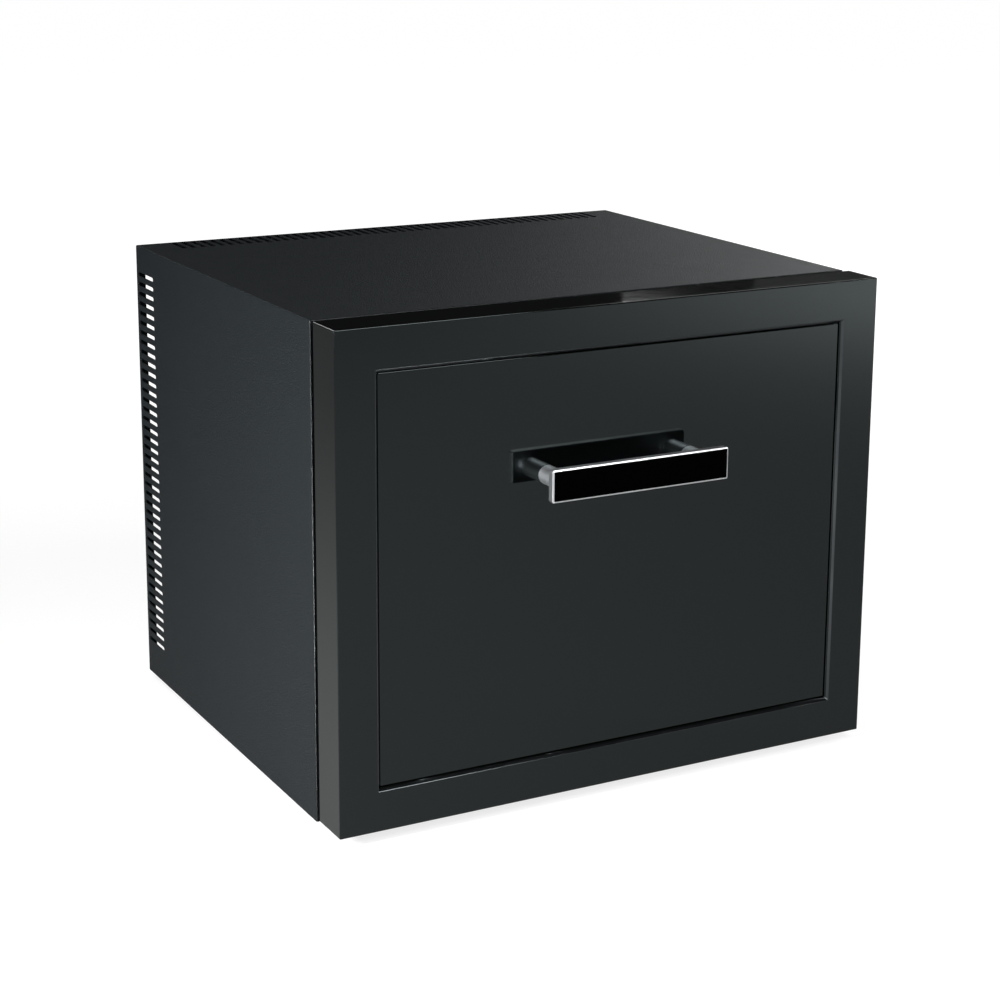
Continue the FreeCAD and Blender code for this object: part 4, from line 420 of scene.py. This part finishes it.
# From the foot on the panel, along the shank, over the collar and down its cone to the bar.
post_profile = [(-194.4, 7.2), (-194.6, 7.5), (-194.9, 7.6), (-195.2, 7.6), (-218.0, 7.6), (-218.3, 7.6),
                (-218.4, 7.8), (-218.5, 7.95), (-218.8, 8.0), (-219.1, 7.85), (-219.4, 7.6), (-222.2, 6.1),
                (-222.4, 5.9)]
for name, x in (("left", -POST_X), ("right", POST_X)):
    rings = turned_rings(post_profile, (x, 0, (BAR_LOW + BAR_HIGH) / 2))
    post = skin(f"turned_post_{name}", rings, capped(rings), satin_chrome, "drawer", "post_chrome")
    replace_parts(post, f"handle_post_{name}")

# ---------------------------------------------------------------------------------------------------------
# The drawer's seal: soft rubber extruded with a foot, a bellows fold, a bulb that holds the magnet strip and
# a thin wing, cut at 45 degrees and welded at the corners. It is pushed on round the back of the front.

SEAL_OUT_X = 0.235
SEAL_LOW, SEAL_HIGH = 0.010, 0.393
SEAL_FOOT_Y = -0.1601
SEAL_HALF_WIDTH = 0.006
# Half of the section: distance from its middle line and height from the foot, then mirrored.
half_section = np.array([
    (0.0000, 0.0000), (0.0048, 0.0000), (0.0059, 0.0005), (0.0060, 0.0014), (0.0052, 0.0022),
    (0.0036, 0.0026), (0.0026, 0.0030), (0.0024, 0.0035), (0.0032, 0.0040), (0.0039, 0.0044),
    (0.0036, 0.0049), (0.0030, 0.0052), (0.0034, 0.0056), (0.0040, 0.0062), (0.0041, 0.0071),
    (0.0037, 0.0079), (0.0026, 0.0082), (0.0000, 0.0082)])
both_halves = np.vstack([half_section, half_section[-2:0:-1] * (-1, 1)])
# The wing stands out from the bulb in place of its outermost row, and hides the casing's edge.
WING_ROW = 14
wing = np.array([(0.0037, 0.0066), (0.0070, 0.0069), (0.0081, 0.0072), (0.0083, 0.0075), (0.0081, 0.0077),
                 (0.0070, 0.0076), (0.0037, 0.0074)])
seal_section = np.vstack([both_halves[:WING_ROW], wing, both_halves[WING_ROW + 1:]])


def seal_ring(section, steps=24):
    """Section carried round the front: at each place on the section, a rectangle that lies that far in from
    the seal's middle line, with its four corners mitred and points along each side."""
    along = np.linspace(0, 1, steps + 1)[:-1]
    corners = np.array([(-1, 0), (1, 0), (1, 1), (-1, 1)])
    track = np.vstack([a + (b - a) * along[:, None] for a, b in zip(corners, np.roll(corners, -1, 0))])
    inset = SEAL_HALF_WIDTH - section[:, 0]
    half = SEAL_OUT_X - inset
    low, high = SEAL_LOW + inset, SEAL_HIGH - inset
    x = track[None, :, 0] * half[:, None]
    z = low[:, None] + track[None, :, 1] * (high - low)[:, None]
    y = np.broadcast_to((SEAL_FOOT_Y + section[:, 1])[:, None], x.shape)
    return np.stack([x, y, z], -1)


def turned_over(faces):
    """The same faces looking the other way: the corners of each in reverse order."""
    return [face[::-1] for face in faces]


seal_rubber, tree, shader = new_finish("seal_rubber", Specular_IOR_Level=0.08)
mottled(tree, shader, (0.006, 0.006, 0.006), (0.011, 0.011, 0.011), 300)
worn(tree, shader, 0.72, 0.86, 40)
grained(tree, shader, 700, 0.00008, 0.6)
rings = seal_ring(seal_section)
seal = skin("drawer_seal", rings, turned_over(net(len(rings), rings.shape[1], True, True)), seal_rubber,
            "drawer", "gasket_rubber")
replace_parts(seal, "door_gasket")

# ---------------------------------------------------------------------------------------------------------
# The cabinet's inside: a vacuum-formed white liner with a light grain, and the drawer front's own liner of
# the same sheet.


def formed_plastic(name, low, high, grain, height, rough):
    """Formed or moulded plastic: nearly even colour, fine grain and a little gloss."""
    finish, tree, shader = new_finish(name, Specular_IOR_Level=0.45)
    mottled(tree, shader, low, high, 45)
    worn(tree, shader, rough - 0.05, rough + 0.06, 20)
    grained(tree, shader, grain, height, 0.7)
    return finish


liner_plastic = formed_plastic("liner_plastic", (0.70, 0.715, 0.71), (0.76, 0.77, 0.765), 800, 0.00009, 0.36)
dress(["inner_liner", "front_liner"], liner_plastic)

# ---------------------------------------------------------------------------------------------------------
# The foam between casing and liner and behind the drawer front, and mineral wool round the boiler. None of
# it shows on a finished cabinet; it is poured or packed in place.

foam, tree, shader = new_finish("rigid_foam", Roughness=0.85)
place = add(tree, "TexCoord")
cells = add(tree, "TexVoronoi", Vector=place.outputs["Object"], Scale=700)
tone = add(tree, "ValToRGB", Fac=cells.outputs["Distance"])
tone.color_ramp.elements[0].color = (0.62, 0.50, 0.25, 1)
tone.color_ramp.elements[1].color = (0.78, 0.68, 0.42, 1)
tree.links.new(tone.outputs["Color"], shader.inputs["Base Color"])
pits = add(tree, "Bump", Height=cells.outputs["Distance"], Distance=0.0006, Strength=0.6)
tree.links.new(pits.outputs["Normal"], shader.inputs["Normal"])
dress(["cabinet_insulation", "front_insulation", "boiler_insulation"], foam)

# ---------------------------------------------------------------------------------------------------------
# Galvanised sheet: the base plate, the bulkhead, the vessel's saddles, the runners' backing plates and the
# boiler cover, all cut and folded from hot-dipped steel that shows its spangle.


def galvanised(name, dull):
    """Zinc spangle: flat crystals, each with its own shade and sheen, under a fine grain."""
    finish, tree, shader = new_finish(name, Metallic=1.0)
    place = add(tree, "TexCoord")
    waver = add(tree, "TexNoise", Vector=place.outputs["Object"], Scale=90, Detail=2)
    shift = add(tree, "MixRGB", {"blend_type": "LINEAR_LIGHT"}, n0=0.006, n1=place.outputs["Object"],
                n2=waver.outputs["Color"])
    crystal = add(tree, "TexVoronoi", Vector=shift.outputs["Color"], Scale=120)
    tone = add(tree, "ValToRGB", Fac=crystal.outputs["Color"])
    tone.color_ramp.elements[0].color = (0.40, 0.42, 0.44, 1)
    tone.color_ramp.elements[1].color = (0.58, 0.60, 0.62, 1)
    tree.links.new(tone.outputs["Color"], shader.inputs["Base Color"])
    sheen = add(tree, "MapRange", Value=crystal.outputs["Color"], To_Min=dull, To_Max=dull + 0.16)
    tree.links.new(sheen.outputs["Result"], shader.inputs["Roughness"])
    grained(tree, shader, 1100, 0.00003, 0.5)
    return finish


zinc_sheet = galvanised("zinc_sheet", 0.34)
dress(["base_plate", "rear_bulkhead", "rail_backing_left", "rail_backing_right", "vessel_saddle_left",
       "vessel_saddle_right"], zinc_sheet)
dress(["boiler_cover"], galvanised("cover_sheet", 0.42))

# ---------------------------------------------------------------------------------------------------------
# The feet: low turned rubber pads that keep the base off the shelf and stop it sliding. Each is screwed on
# through its middle from below.

foot_rubber, tree, shader = new_finish("foot_rubber", Specular_IOR_Level=0.25)
mottled(tree, shader, (0.012, 0.012, 0.012), (0.028, 0.027, 0.026), 220)
worn(tree, shader, 0.62, 0.8, 60)
grained(tree, shader, 520, 0.00015, 0.7)
dress(["foot_front_left", "foot_front_right", "foot_rear_left", "foot_rear_right"], foot_rubber)

# ---------------------------------------------------------------------------------------------------------
# The runners: three rolled channels a side, bright zinc over steel with drawing marks along their length,
# and the cages that keep the balls apart.


def drawn_steel(name, low, high, rough, stretch):
    """Bright metal with fine lines, as rolling and drawing leave them: noise with a scale for each axis,
    which runs out into lines along the axis with the lowest one."""
    finish, tree, shader = new_finish(name, Metallic=1.0)
    place = add(tree, "TexCoord")
    pull = add(tree, "Mapping", Vector=place.outputs["Object"], Scale=stretch)
    lines = add(tree, "TexNoise", Vector=pull.outputs[0], Scale=1.0, Detail=3)
    tone = add(tree, "ValToRGB", Fac=lines.outputs["Fac"])
    tone.color_ramp.elements[0].color = (*low, 1)
    tone.color_ramp.elements[1].color = (*high, 1)
    tree.links.new(tone.outputs["Color"], shader.inputs["Base Color"])
    spread = add(tree, "MapRange", Value=lines.outputs["Fac"], To_Min=rough - 0.06, To_Max=rough + 0.1)
    tree.links.new(spread.outputs["Result"], shader.inputs["Roughness"])
    bump = add(tree, "Bump", Height=lines.outputs["Fac"], Distance=0.00003, Strength=0.6)
    tree.links.new(bump.outputs["Normal"], shader.inputs["Normal"])
    return finish


rail_steel = drawn_steel("rail_steel", (0.50, 0.51, 0.53), (0.68, 0.69, 0.71), 0.28, (1500, 25, 1500))
ball_steel = drawn_steel("ball_steel", (0.55, 0.56, 0.57), (0.72, 0.73, 0.74), 0.2, (300, 60, 300))
for side in ("left", "right"):
    dress([f"{part}_rail_{side}" for part in ("outer", "middle", "inner")], rail_steel)
    dress([f"{part}_cage_{side}" for part in ("outer", "inner")], ball_steel)

# ---------------------------------------------------------------------------------------------------------
# The drawer's side plates: steel sheet with a smooth light grey epoxy coat. Each is folded in and screwed to
# the drawer front, and carries a runner's inner rail on its outside.

side_coat, tree, shader = new_finish("side_coat", Specular_IOR_Level=0.4)
mottled(tree, shader, (0.33, 0.34, 0.35), (0.38, 0.39, 0.40), 160)
worn(tree, shader, 0.36, 0.48, 16)
grained(tree, shader, 500, 0.00006, 0.6)
dress(["drawer_side_left", "drawer_side_right"], side_coat)

# ---------------------------------------------------------------------------------------------------------
# The basket: a moulded tub with rounded corners and an edge rolled out over the side plates that it hangs
# between. A fixed partition of the same plastic stands in it.

TUB_X = 0.1953
TUB_FRONT, TUB_BACK = -0.1376, 0.1104
TUB_LOW, TUB_TOP = 0.047, 0.1885
TUB_WALL = 0.0025
TUB_CORNER = 0.008
TUB_LEAST_CORNER = 0.0005
TUB_LOWER_BEND = 0.003
RIM_X = 0.197
SIDE_TOP = 0.186


def rounded_track(half_x, front, back, radius, steps=10):
    """Points once round a rectangle with round corners, anticlockwise from above, evenly spaced on each
    arc."""
    centres = np.array([(half_x - radius, back - radius), (radius - half_x, back - radius),
                        (radius - half_x, front + radius), (half_x - radius, front + radius)])
    quarter = np.linspace(0, np.pi / 2, steps)
    arcs = []
    for i, centre in enumerate(centres):
        angle = quarter + i * np.pi / 2
        arcs.append(centre + radius * np.stack([np.cos(angle), np.sin(angle)], -1))
    return np.vstack(arcs)


def tub_rings():
    """The tub as one closed skin: rings of a rounded rectangle, each drawn in by an amount and at a height.
    They run from the middle of the floor inside, up the inner wall, over the edge, down the outer wall and
    to the middle below. Each ring's corner radius shrinks or grows with how far it is drawn in."""
    fillet = TUB_CORNER - TUB_WALL
    inner_floor = TUB_LOW + TUB_WALL
    inner_bend = np.linspace(0, np.pi / 2, 7)
    profile = [(TUB_WALL + fillet * (1 - np.sin(a)), inner_floor + fillet * (1 - np.cos(a)))
               for a in inner_bend]
    over = np.linspace(0, np.pi, 9)
    half = TUB_WALL / 2
    profile += [(half + half * np.cos(a), TUB_TOP - half + half * np.sin(a)) for a in over]
    lower_bend = np.linspace(0, np.pi / 2, 5)
    profile += [(TUB_LOWER_BEND * (1 - np.cos(a)), TUB_LOW + TUB_LOWER_BEND * (1 - np.sin(a)))
                for a in lower_bend]
    rings = []
    for inset, level in profile:
        radius = max(TUB_CORNER - inset, TUB_LEAST_CORNER)
        track = rounded_track(TUB_X - inset, TUB_FRONT + inset, TUB_BACK - inset, radius)
        rings.append(np.column_stack([track, np.full(len(track), level)]))
    return np.array(rings)


def hook_over(side):
    """The tub's rim on one side: a flat strip with a rolled outer edge that rests on the side plate's top.
    Its section runs along Y between the tub's corners, with both ends closed."""
    turn_over = np.linspace(-np.pi / 2, np.pi / 2, 7)
    radius = (TUB_TOP - SIDE_TOP) / 2
    rolled = [(RIM_X - radius + radius * np.cos(a), SIDE_TOP + radius + radius * np.sin(a))
              for a in turn_over]
    wall_middle = TUB_X - TUB_WALL / 2
    outline = np.array([(wall_middle, SIDE_TOP)] + rolled + [(wall_middle, TUB_TOP)])
    ends = np.array([TUB_FRONT + TUB_CORNER, TUB_BACK - TUB_CORNER])
    count = len(outline)
    rings = np.stack([np.broadcast_to(outline[:, 0] * side, (2, count)),
                      np.repeat(ends, count).reshape(2, count),
                      np.broadcast_to(outline[:, 1], (2, count))], -1)
    return rings, capped(rings) if side < 0 else turned_over(capped(rings))


tub_plastic = formed_plastic("tub_plastic", (0.20, 0.21, 0.215), (0.235, 0.245, 0.25), 650, 0.00009, 0.34)
# The tub's rings run inside to outside and anticlockwise, so its faces are turned over to look outward.
rings = tub_rings()
tub = skin("basket_tub", rings, turned_over(capped(rings)), tub_plastic, "drawer", "basket_plastic")
for side, name in ((-1, "left"), (1, "right")):
    rings, faces = hook_over(side)
    skin(f"basket_rim_{name}", rings, faces, tub_plastic, "drawer", "basket_plastic", smooth=False)
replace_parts(tub, "basket")
dress(["basket_partition"], tub_plastic)

# ---------------------------------------------------------------------------------------------------------
# The divider: a clear moulded plate that stands across the basket's wide bay and slides along it, held by
# friction.

divider_plastic, tree, shader = new_finish("divider_plastic", Specular_IOR_Level=0.5,
                                           Transmission_Weight=0.55)
mottled(tree, shader, (0.62, 0.66, 0.68), (0.70, 0.74, 0.76), 60)
worn(tree, shader, 0.12, 0.22, 30)
grained(tree, shader, 240, 0.00003, 0.5)
dress(["sliding_divider"], divider_plastic)

# ---------------------------------------------------------------------------------------------------------
# The cooling unit: steel tube and vessel, bent, welded and sprayed black. The condenser's thin steel fins
# are pressed on to their pipe and take a thinner, browner coat.

unit_paint, tree, shader = new_finish("unit_paint", Specular_IOR_Level=0.4)
mottled(tree, shader, (0.012, 0.012, 0.013), (0.026, 0.026, 0.027), 130)
worn(tree, shader, 0.34, 0.52, 35)
grained(tree, shader, 420, 0.00012, 0.6)
dress(["boiler_tube", "condenser_pipe", "return_pipe", "solution_pipe", "absorber_vessel", "absorber_coil"],
      unit_paint)
fin_paint, tree, shader = new_finish("fin_paint", Specular_IOR_Level=0.35)
mottled(tree, shader, (0.030, 0.028, 0.026), (0.055, 0.051, 0.047), 90)
worn(tree, shader, 0.42, 0.6, 30)
grained(tree, shader, 600, 0.00006, 0.5)
dress(["condenser_fins"], fin_paint)

# ---------------------------------------------------------------------------------------------------------
# The cold plate: extruded aluminium with upright ribs, left bare with its drawing lines. It stands on the
# cavity's back wall, where the cooling unit's two pipes meet it.

cold_aluminium = drawn_steel("cold_aluminium", (0.62, 0.63, 0.64), (0.76, 0.77, 0.78), 0.36, (220, 220, 9))
dress(["cold_plate"], cold_aluminium)

# ---------------------------------------------------------------------------------------------------------
# The supply: a moulded terminal box on the bulkhead with a cable gland in its wall, and at the seal a switch
# in the cabinet and the magnet in the drawer that closes it. All are black plastic.

black_plastic = formed_plastic("black_plastic", (0.014, 0.014, 0.015), (0.022, 0.022, 0.023), 900, 0.0001,
                               0.46)
dress(["terminal_box", "reed_switch", "reed_magnet"], black_plastic)


def hexagon(size, count):
    """Radii round a hexagon: half its width across the flats, over the cosine of the turn from the middle of
    a flat, and no more than a little under the corners' radius, which cuts them back."""
    turn = np.linspace(0, 2 * np.pi, count, endpoint=False) % (np.pi / 3) - np.pi / 6
    return np.minimum(size * np.cos(np.pi / 6) / np.cos(turn), size * 0.985)


def fluted(size, depth, flutes, count):
    """Radii round a grip with shallow rounded flutes: its size, less a depth times a cosine cubed."""
    turn = np.linspace(0, 2 * np.pi, count, endpoint=False)
    return size - depth * np.abs(np.cos(turn * flutes / 2)) ** 3


GLAND_X, GLAND_Z = 0.065, 0.097
GLAND_POINTS = 96
cap_flutes = fluted(8.0, 0.5, 12, GLAND_POINTS)
spanner_flats = hexagon(11, GLAND_POINTS)
# From the outer end: domed and fluted cap, hexagon against the box, thread inside it, then the bore.
gland_profile = [(222.4, 4.6), (222.4, 6.4), (222.1, 7.0), (221.4, 7.5), (220.4, cap_flutes),
                 (214.0, cap_flutes), (213.4, 7.6), (212.6, 7.6), (212.4, 7.8), (212.4, 9.6),
                 (212.1, spanner_flats), (208.7, spanner_flats), (208.4, 9.6), (208.4, 8.0), (206.1, 8.0),
                 (205.9, 7.8), (205.9, 4.2), (206.1, 4.0), (222.0, 4.0), (222.2, 4.1)]
rings = turned_rings(gland_profile, (GLAND_X, 0, GLAND_Z), count=GLAND_POINTS)
gland = skin("fluted_gland", rings, net(len(rings), GLAND_POINTS, True, True), black_plastic, "cabinet",
             "black_plastic")
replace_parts(gland, "cable_gland")

# ---------------------------------------------------------------------------------------------------------
# The thermostat's housing and lamp: a white moulding under the cavity's ceiling. A clear ribbed tray lies on
# a ledge in it as the lens, and a board with small lights lies on the tray's rim.

dress(["thermostat_housing"], liner_plastic)
lens_plastic, tree, shader = new_finish("lens_plastic", Specular_IOR_Level=0.5, Transmission_Weight=0.7)
mottled(tree, shader, (0.82, 0.84, 0.84), (0.90, 0.91, 0.90), 80)
worn(tree, shader, 0.30, 0.42, 60)
ribs = add(tree, "TexWave", {"wave_type": "BANDS", "bands_direction": "X"}, Scale=110,
           Vector=add(tree, "TexCoord").outputs["Object"])
ridge = add(tree, "Bump", Height=ribs.outputs["Fac"], Distance=0.0004, Strength=0.6)
tree.links.new(ridge.outputs["Normal"], shader.inputs["Normal"])
dress(["lamp_lens"], lens_plastic)
board, tree, shader = new_finish("board", Specular_IOR_Level=0.4)
mottled(tree, shader, (0.66, 0.67, 0.64), (0.74, 0.75, 0.72), 300)
worn(tree, shader, 0.35, 0.5, 90)
dress(["lamp_board"], board)

# ---------------------------------------------------------------------------------------------------------
# The thermostat's knob: grey moulded plastic, a disc with a fluted rim and a narrow grip across it. The shaft
# behind it turns in the housing.

KNOB_X, KNOB_Z = 0.172, 0.352
KNOB_POINTS = 120
GRIP_LENGTH, GRIP_WIDTH = 10, 1.5


def grip_radii(length, width, count):
    """Radii round a narrow upright grip with soft corners: a superellipse of the seventh power."""
    turn = np.linspace(0, 2 * np.pi, count, endpoint=False)
    return (np.abs(np.sin(turn) / length) ** 7 + np.abs(np.cos(turn) / width) ** 7) ** (-1 / 7)


knob_plastic = formed_plastic("knob_plastic", (0.30, 0.31, 0.32), (0.35, 0.36, 0.37), 900, 0.00006, 0.32)
rim_flutes = fluted(11, 0.45, 30, KNOB_POINTS)
# From the tip of the shaft: disc with a fluted rim, then the grip that stands across it.
knob_profile = [(-117.8, 2.5), (-118.1, 2.9), (-118.4, 3.0), (-131.8, 3.0), (-132.0, 3.2), (-132.0, 10.1),
                (-132.2, 10.5), (-132.5, rim_flutes), (-135.2, rim_flutes), (-135.7, 10.5), (-136.0, 10.1)]
# How far along the axis, and the grip's size there as a share of its full one.
grip_rows = [(-136.0, 0.99), (-136.3, 0.96), (-139.9, 0.94), (-140.6, 0.9), (-140.9, 0.8), (-141, 0.6)]
knob_profile += [(level, grip_radii(GRIP_LENGTH * size, GRIP_WIDTH * size, KNOB_POINTS))
                 for level, size in grip_rows]
rings = turned_rings(knob_profile, (KNOB_X, 0, KNOB_Z), count=KNOB_POINTS)
knob = skin("fluted_knob", rings, capped(rings), knob_plastic, "knob", "knob_plastic")
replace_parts(knob, "thermostat_knob")

# ---------------------------------------------------------------------------------------------------------
# The knob's marks: raised and painted strokes on its disc that grow from the coldest side round, and one on
# the housing to read them by.


def stroke(start, end, half, back, front, steps=7):
    """Closed thin stroke with round ends between two points of an upright plane: full width up to seven
    tenths of its height, and drawn in to four fifths at the top."""
    start, end = np.array(start), np.array(end)
    along = (end - start) / np.linalg.norm(end - start)
    across = np.array([-along[1], along[0]])
    angle = np.radians(np.concatenate([np.linspace(-90, 90, steps), np.linspace(90, 270, steps)]))
    first_end = np.arange(2 * steps)[:, None] < steps
    rings = []
    for depth, size in ((back, 1), (front * 0.7 + back * 0.3, 1), (front, 0.8)):
        round_end = half * size * (np.cos(angle)[:, None] * along + np.sin(angle)[:, None] * across)
        track = np.where(first_end, end, start) + round_end
        rings.append(np.column_stack([track[:, 0], np.full(2 * steps, depth), track[:, 1]]))
    return np.array(rings)


def gathered(parts):
    """Several skins, each with its points and faces, as the points and faces of one."""
    points, faces = [], []
    for some_points, some_faces in parts:
        start = sum(len(each) for each in points)
        points.append(np.asarray(some_points).reshape(-1, 3))
        faces += [[start + corner for corner in face] for face in some_faces]
    return np.vstack(points), faces


mark_paint = formed_plastic("mark_paint", (0.05, 0.05, 0.055), (0.07, 0.07, 0.075), 1200, 0.00005, 0.5)
knob_centre = np.array((KNOB_X, KNOB_Z))
MARKS = 7
FIRST_MARK, MARK_STEP = 30, 20
MARK_OUT, MARK_IN, MARK_GROWTH = 0.0096, 0.0088, 0.0004
marks = []
for step in range(MARKS):
    turn = np.radians(FIRST_MARK + MARK_STEP * step)
    towards = np.array([np.sin(turn), np.cos(turn)])
    rings = stroke(knob_centre + towards * (MARK_IN - MARK_GROWTH * step), knob_centre + towards * MARK_OUT,
                   half=0.00022, back=-0.1359, front=-0.13612)
    marks.append((rings, capped(rings)))
skin("knob_marks", *gathered(marks), mark_paint, "knob", "knob_plastic")
POINTER_OUT, POINTER_IN = 0.0165, 0.0130
rings = stroke((KNOB_X - POINTER_OUT, KNOB_Z), (KNOB_X - POINTER_IN, KNOB_Z), half=0.0005, back=-0.1315,
               front=-0.13178)
skin("housing_mark", rings, capped(rings), mark_paint, "cabinet", "liner_plastic")

# ---------------------------------------------------------------------------------------------------------
# Screws with domed heads and cross recesses, of zinc-plated steel: four in the feet and six through the
# casing's flange, three to a runner, two to a side plate. The heater cartridge has the same bright sheath.

screw_steel = drawn_steel("screw_steel", (0.52, 0.53, 0.55), (0.70, 0.71, 0.73), 0.26, (260, 260, 260))
dress(["handle_screws", "heater_cartridge"], screw_steel)
SCREW_POINTS = 48


def cross(length, width):
    """Radii round a cross recess with arms of one length and width: along the nearer arm, its length over
    the cosine of the turn from it, or its half width over the sine where that is less."""
    turn = np.linspace(0, 2 * np.pi, SCREW_POINTS, endpoint=False)
    long = np.maximum(abs(np.cos(turn)), abs(np.sin(turn)))
    short = np.minimum(abs(np.cos(turn)), abs(np.sin(turn)))
    return np.minimum(length / long, width / np.maximum(short, 1e-6))


def screw(seat, shank, length, head, height, axis, facing):
    """Points and faces of a domed screw with a cross recess, its head to one side of the seat. The sizes are
    in millimetres, and shank and head are radii."""
    profile = [(length, 0.7 * shank), (length - 0.4, shank), (0.05, shank), (0, 1.05 * shank),
               (0, 0.95 * head), (-0.08 * height, head), (-0.55 * height, head),
               (-0.80 * height, 0.93 * head), (-0.95 * height, 0.80 * head), (-height, 0.68 * head),
               (-height, cross(0.56 * head, 0.15 * head)),
               (-0.45 * height, cross(0.40 * head, 0.11 * head))]
    rings = turned_rings(profile, (0, 0, 0), axis, SCREW_POINTS)
    faces = capped(rings)
    if facing > 0:
        rings[..., "xyz".index(axis)] *= -1
        faces = turned_over(faces)
    return rings + seat, faces


foot_seats = [(x, y, 0.003) for x in (-0.19, 0.19) for y in (-0.1096, 0.1874)]
flange_seats = [(x, y, 0.005) for x in (-0.234, 0.234) for y in (-0.0916, 0.0389, 0.1694)]
base = [screw(seat, shank=2, length=4, head=3.4, height=2, axis="z", facing=-1)
        for seat in foot_seats + flange_seats]
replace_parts(skin("cross_base_screws", *gathered(base), screw_steel, "cabinet", "screw_steel"), "base_screws")
RAIL_SEAT_X, RAIL_SEAT_Z = 0.2094, 0.150
flush = [screw((side * RAIL_SEAT_X, y, RAIL_SEAT_Z), shank=1.6, length=4.6, head=3, height=0.6, axis="x",
               facing=-side)
         for side in (-1, 1) for y in (-0.1156, -0.0076, 0.1004)]
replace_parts(skin("cross_rail_screws", *gathered(flush), screw_steel, "cabinet", "screw_steel"), "rail_screws")
plate_seats = [(x, -0.1586, z) for x in (-0.1848, 0.1848) for z in (0.12867, 0.174)]
domed = [screw(seat, shank=2, length=8, head=3.6, height=1.6, axis="y", facing=1) for seat in plate_seats]
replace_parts(skin("cross_drawer_screws", *gathered(domed), screw_steel, "drawer", "screw_steel"),
            "drawer_screws")
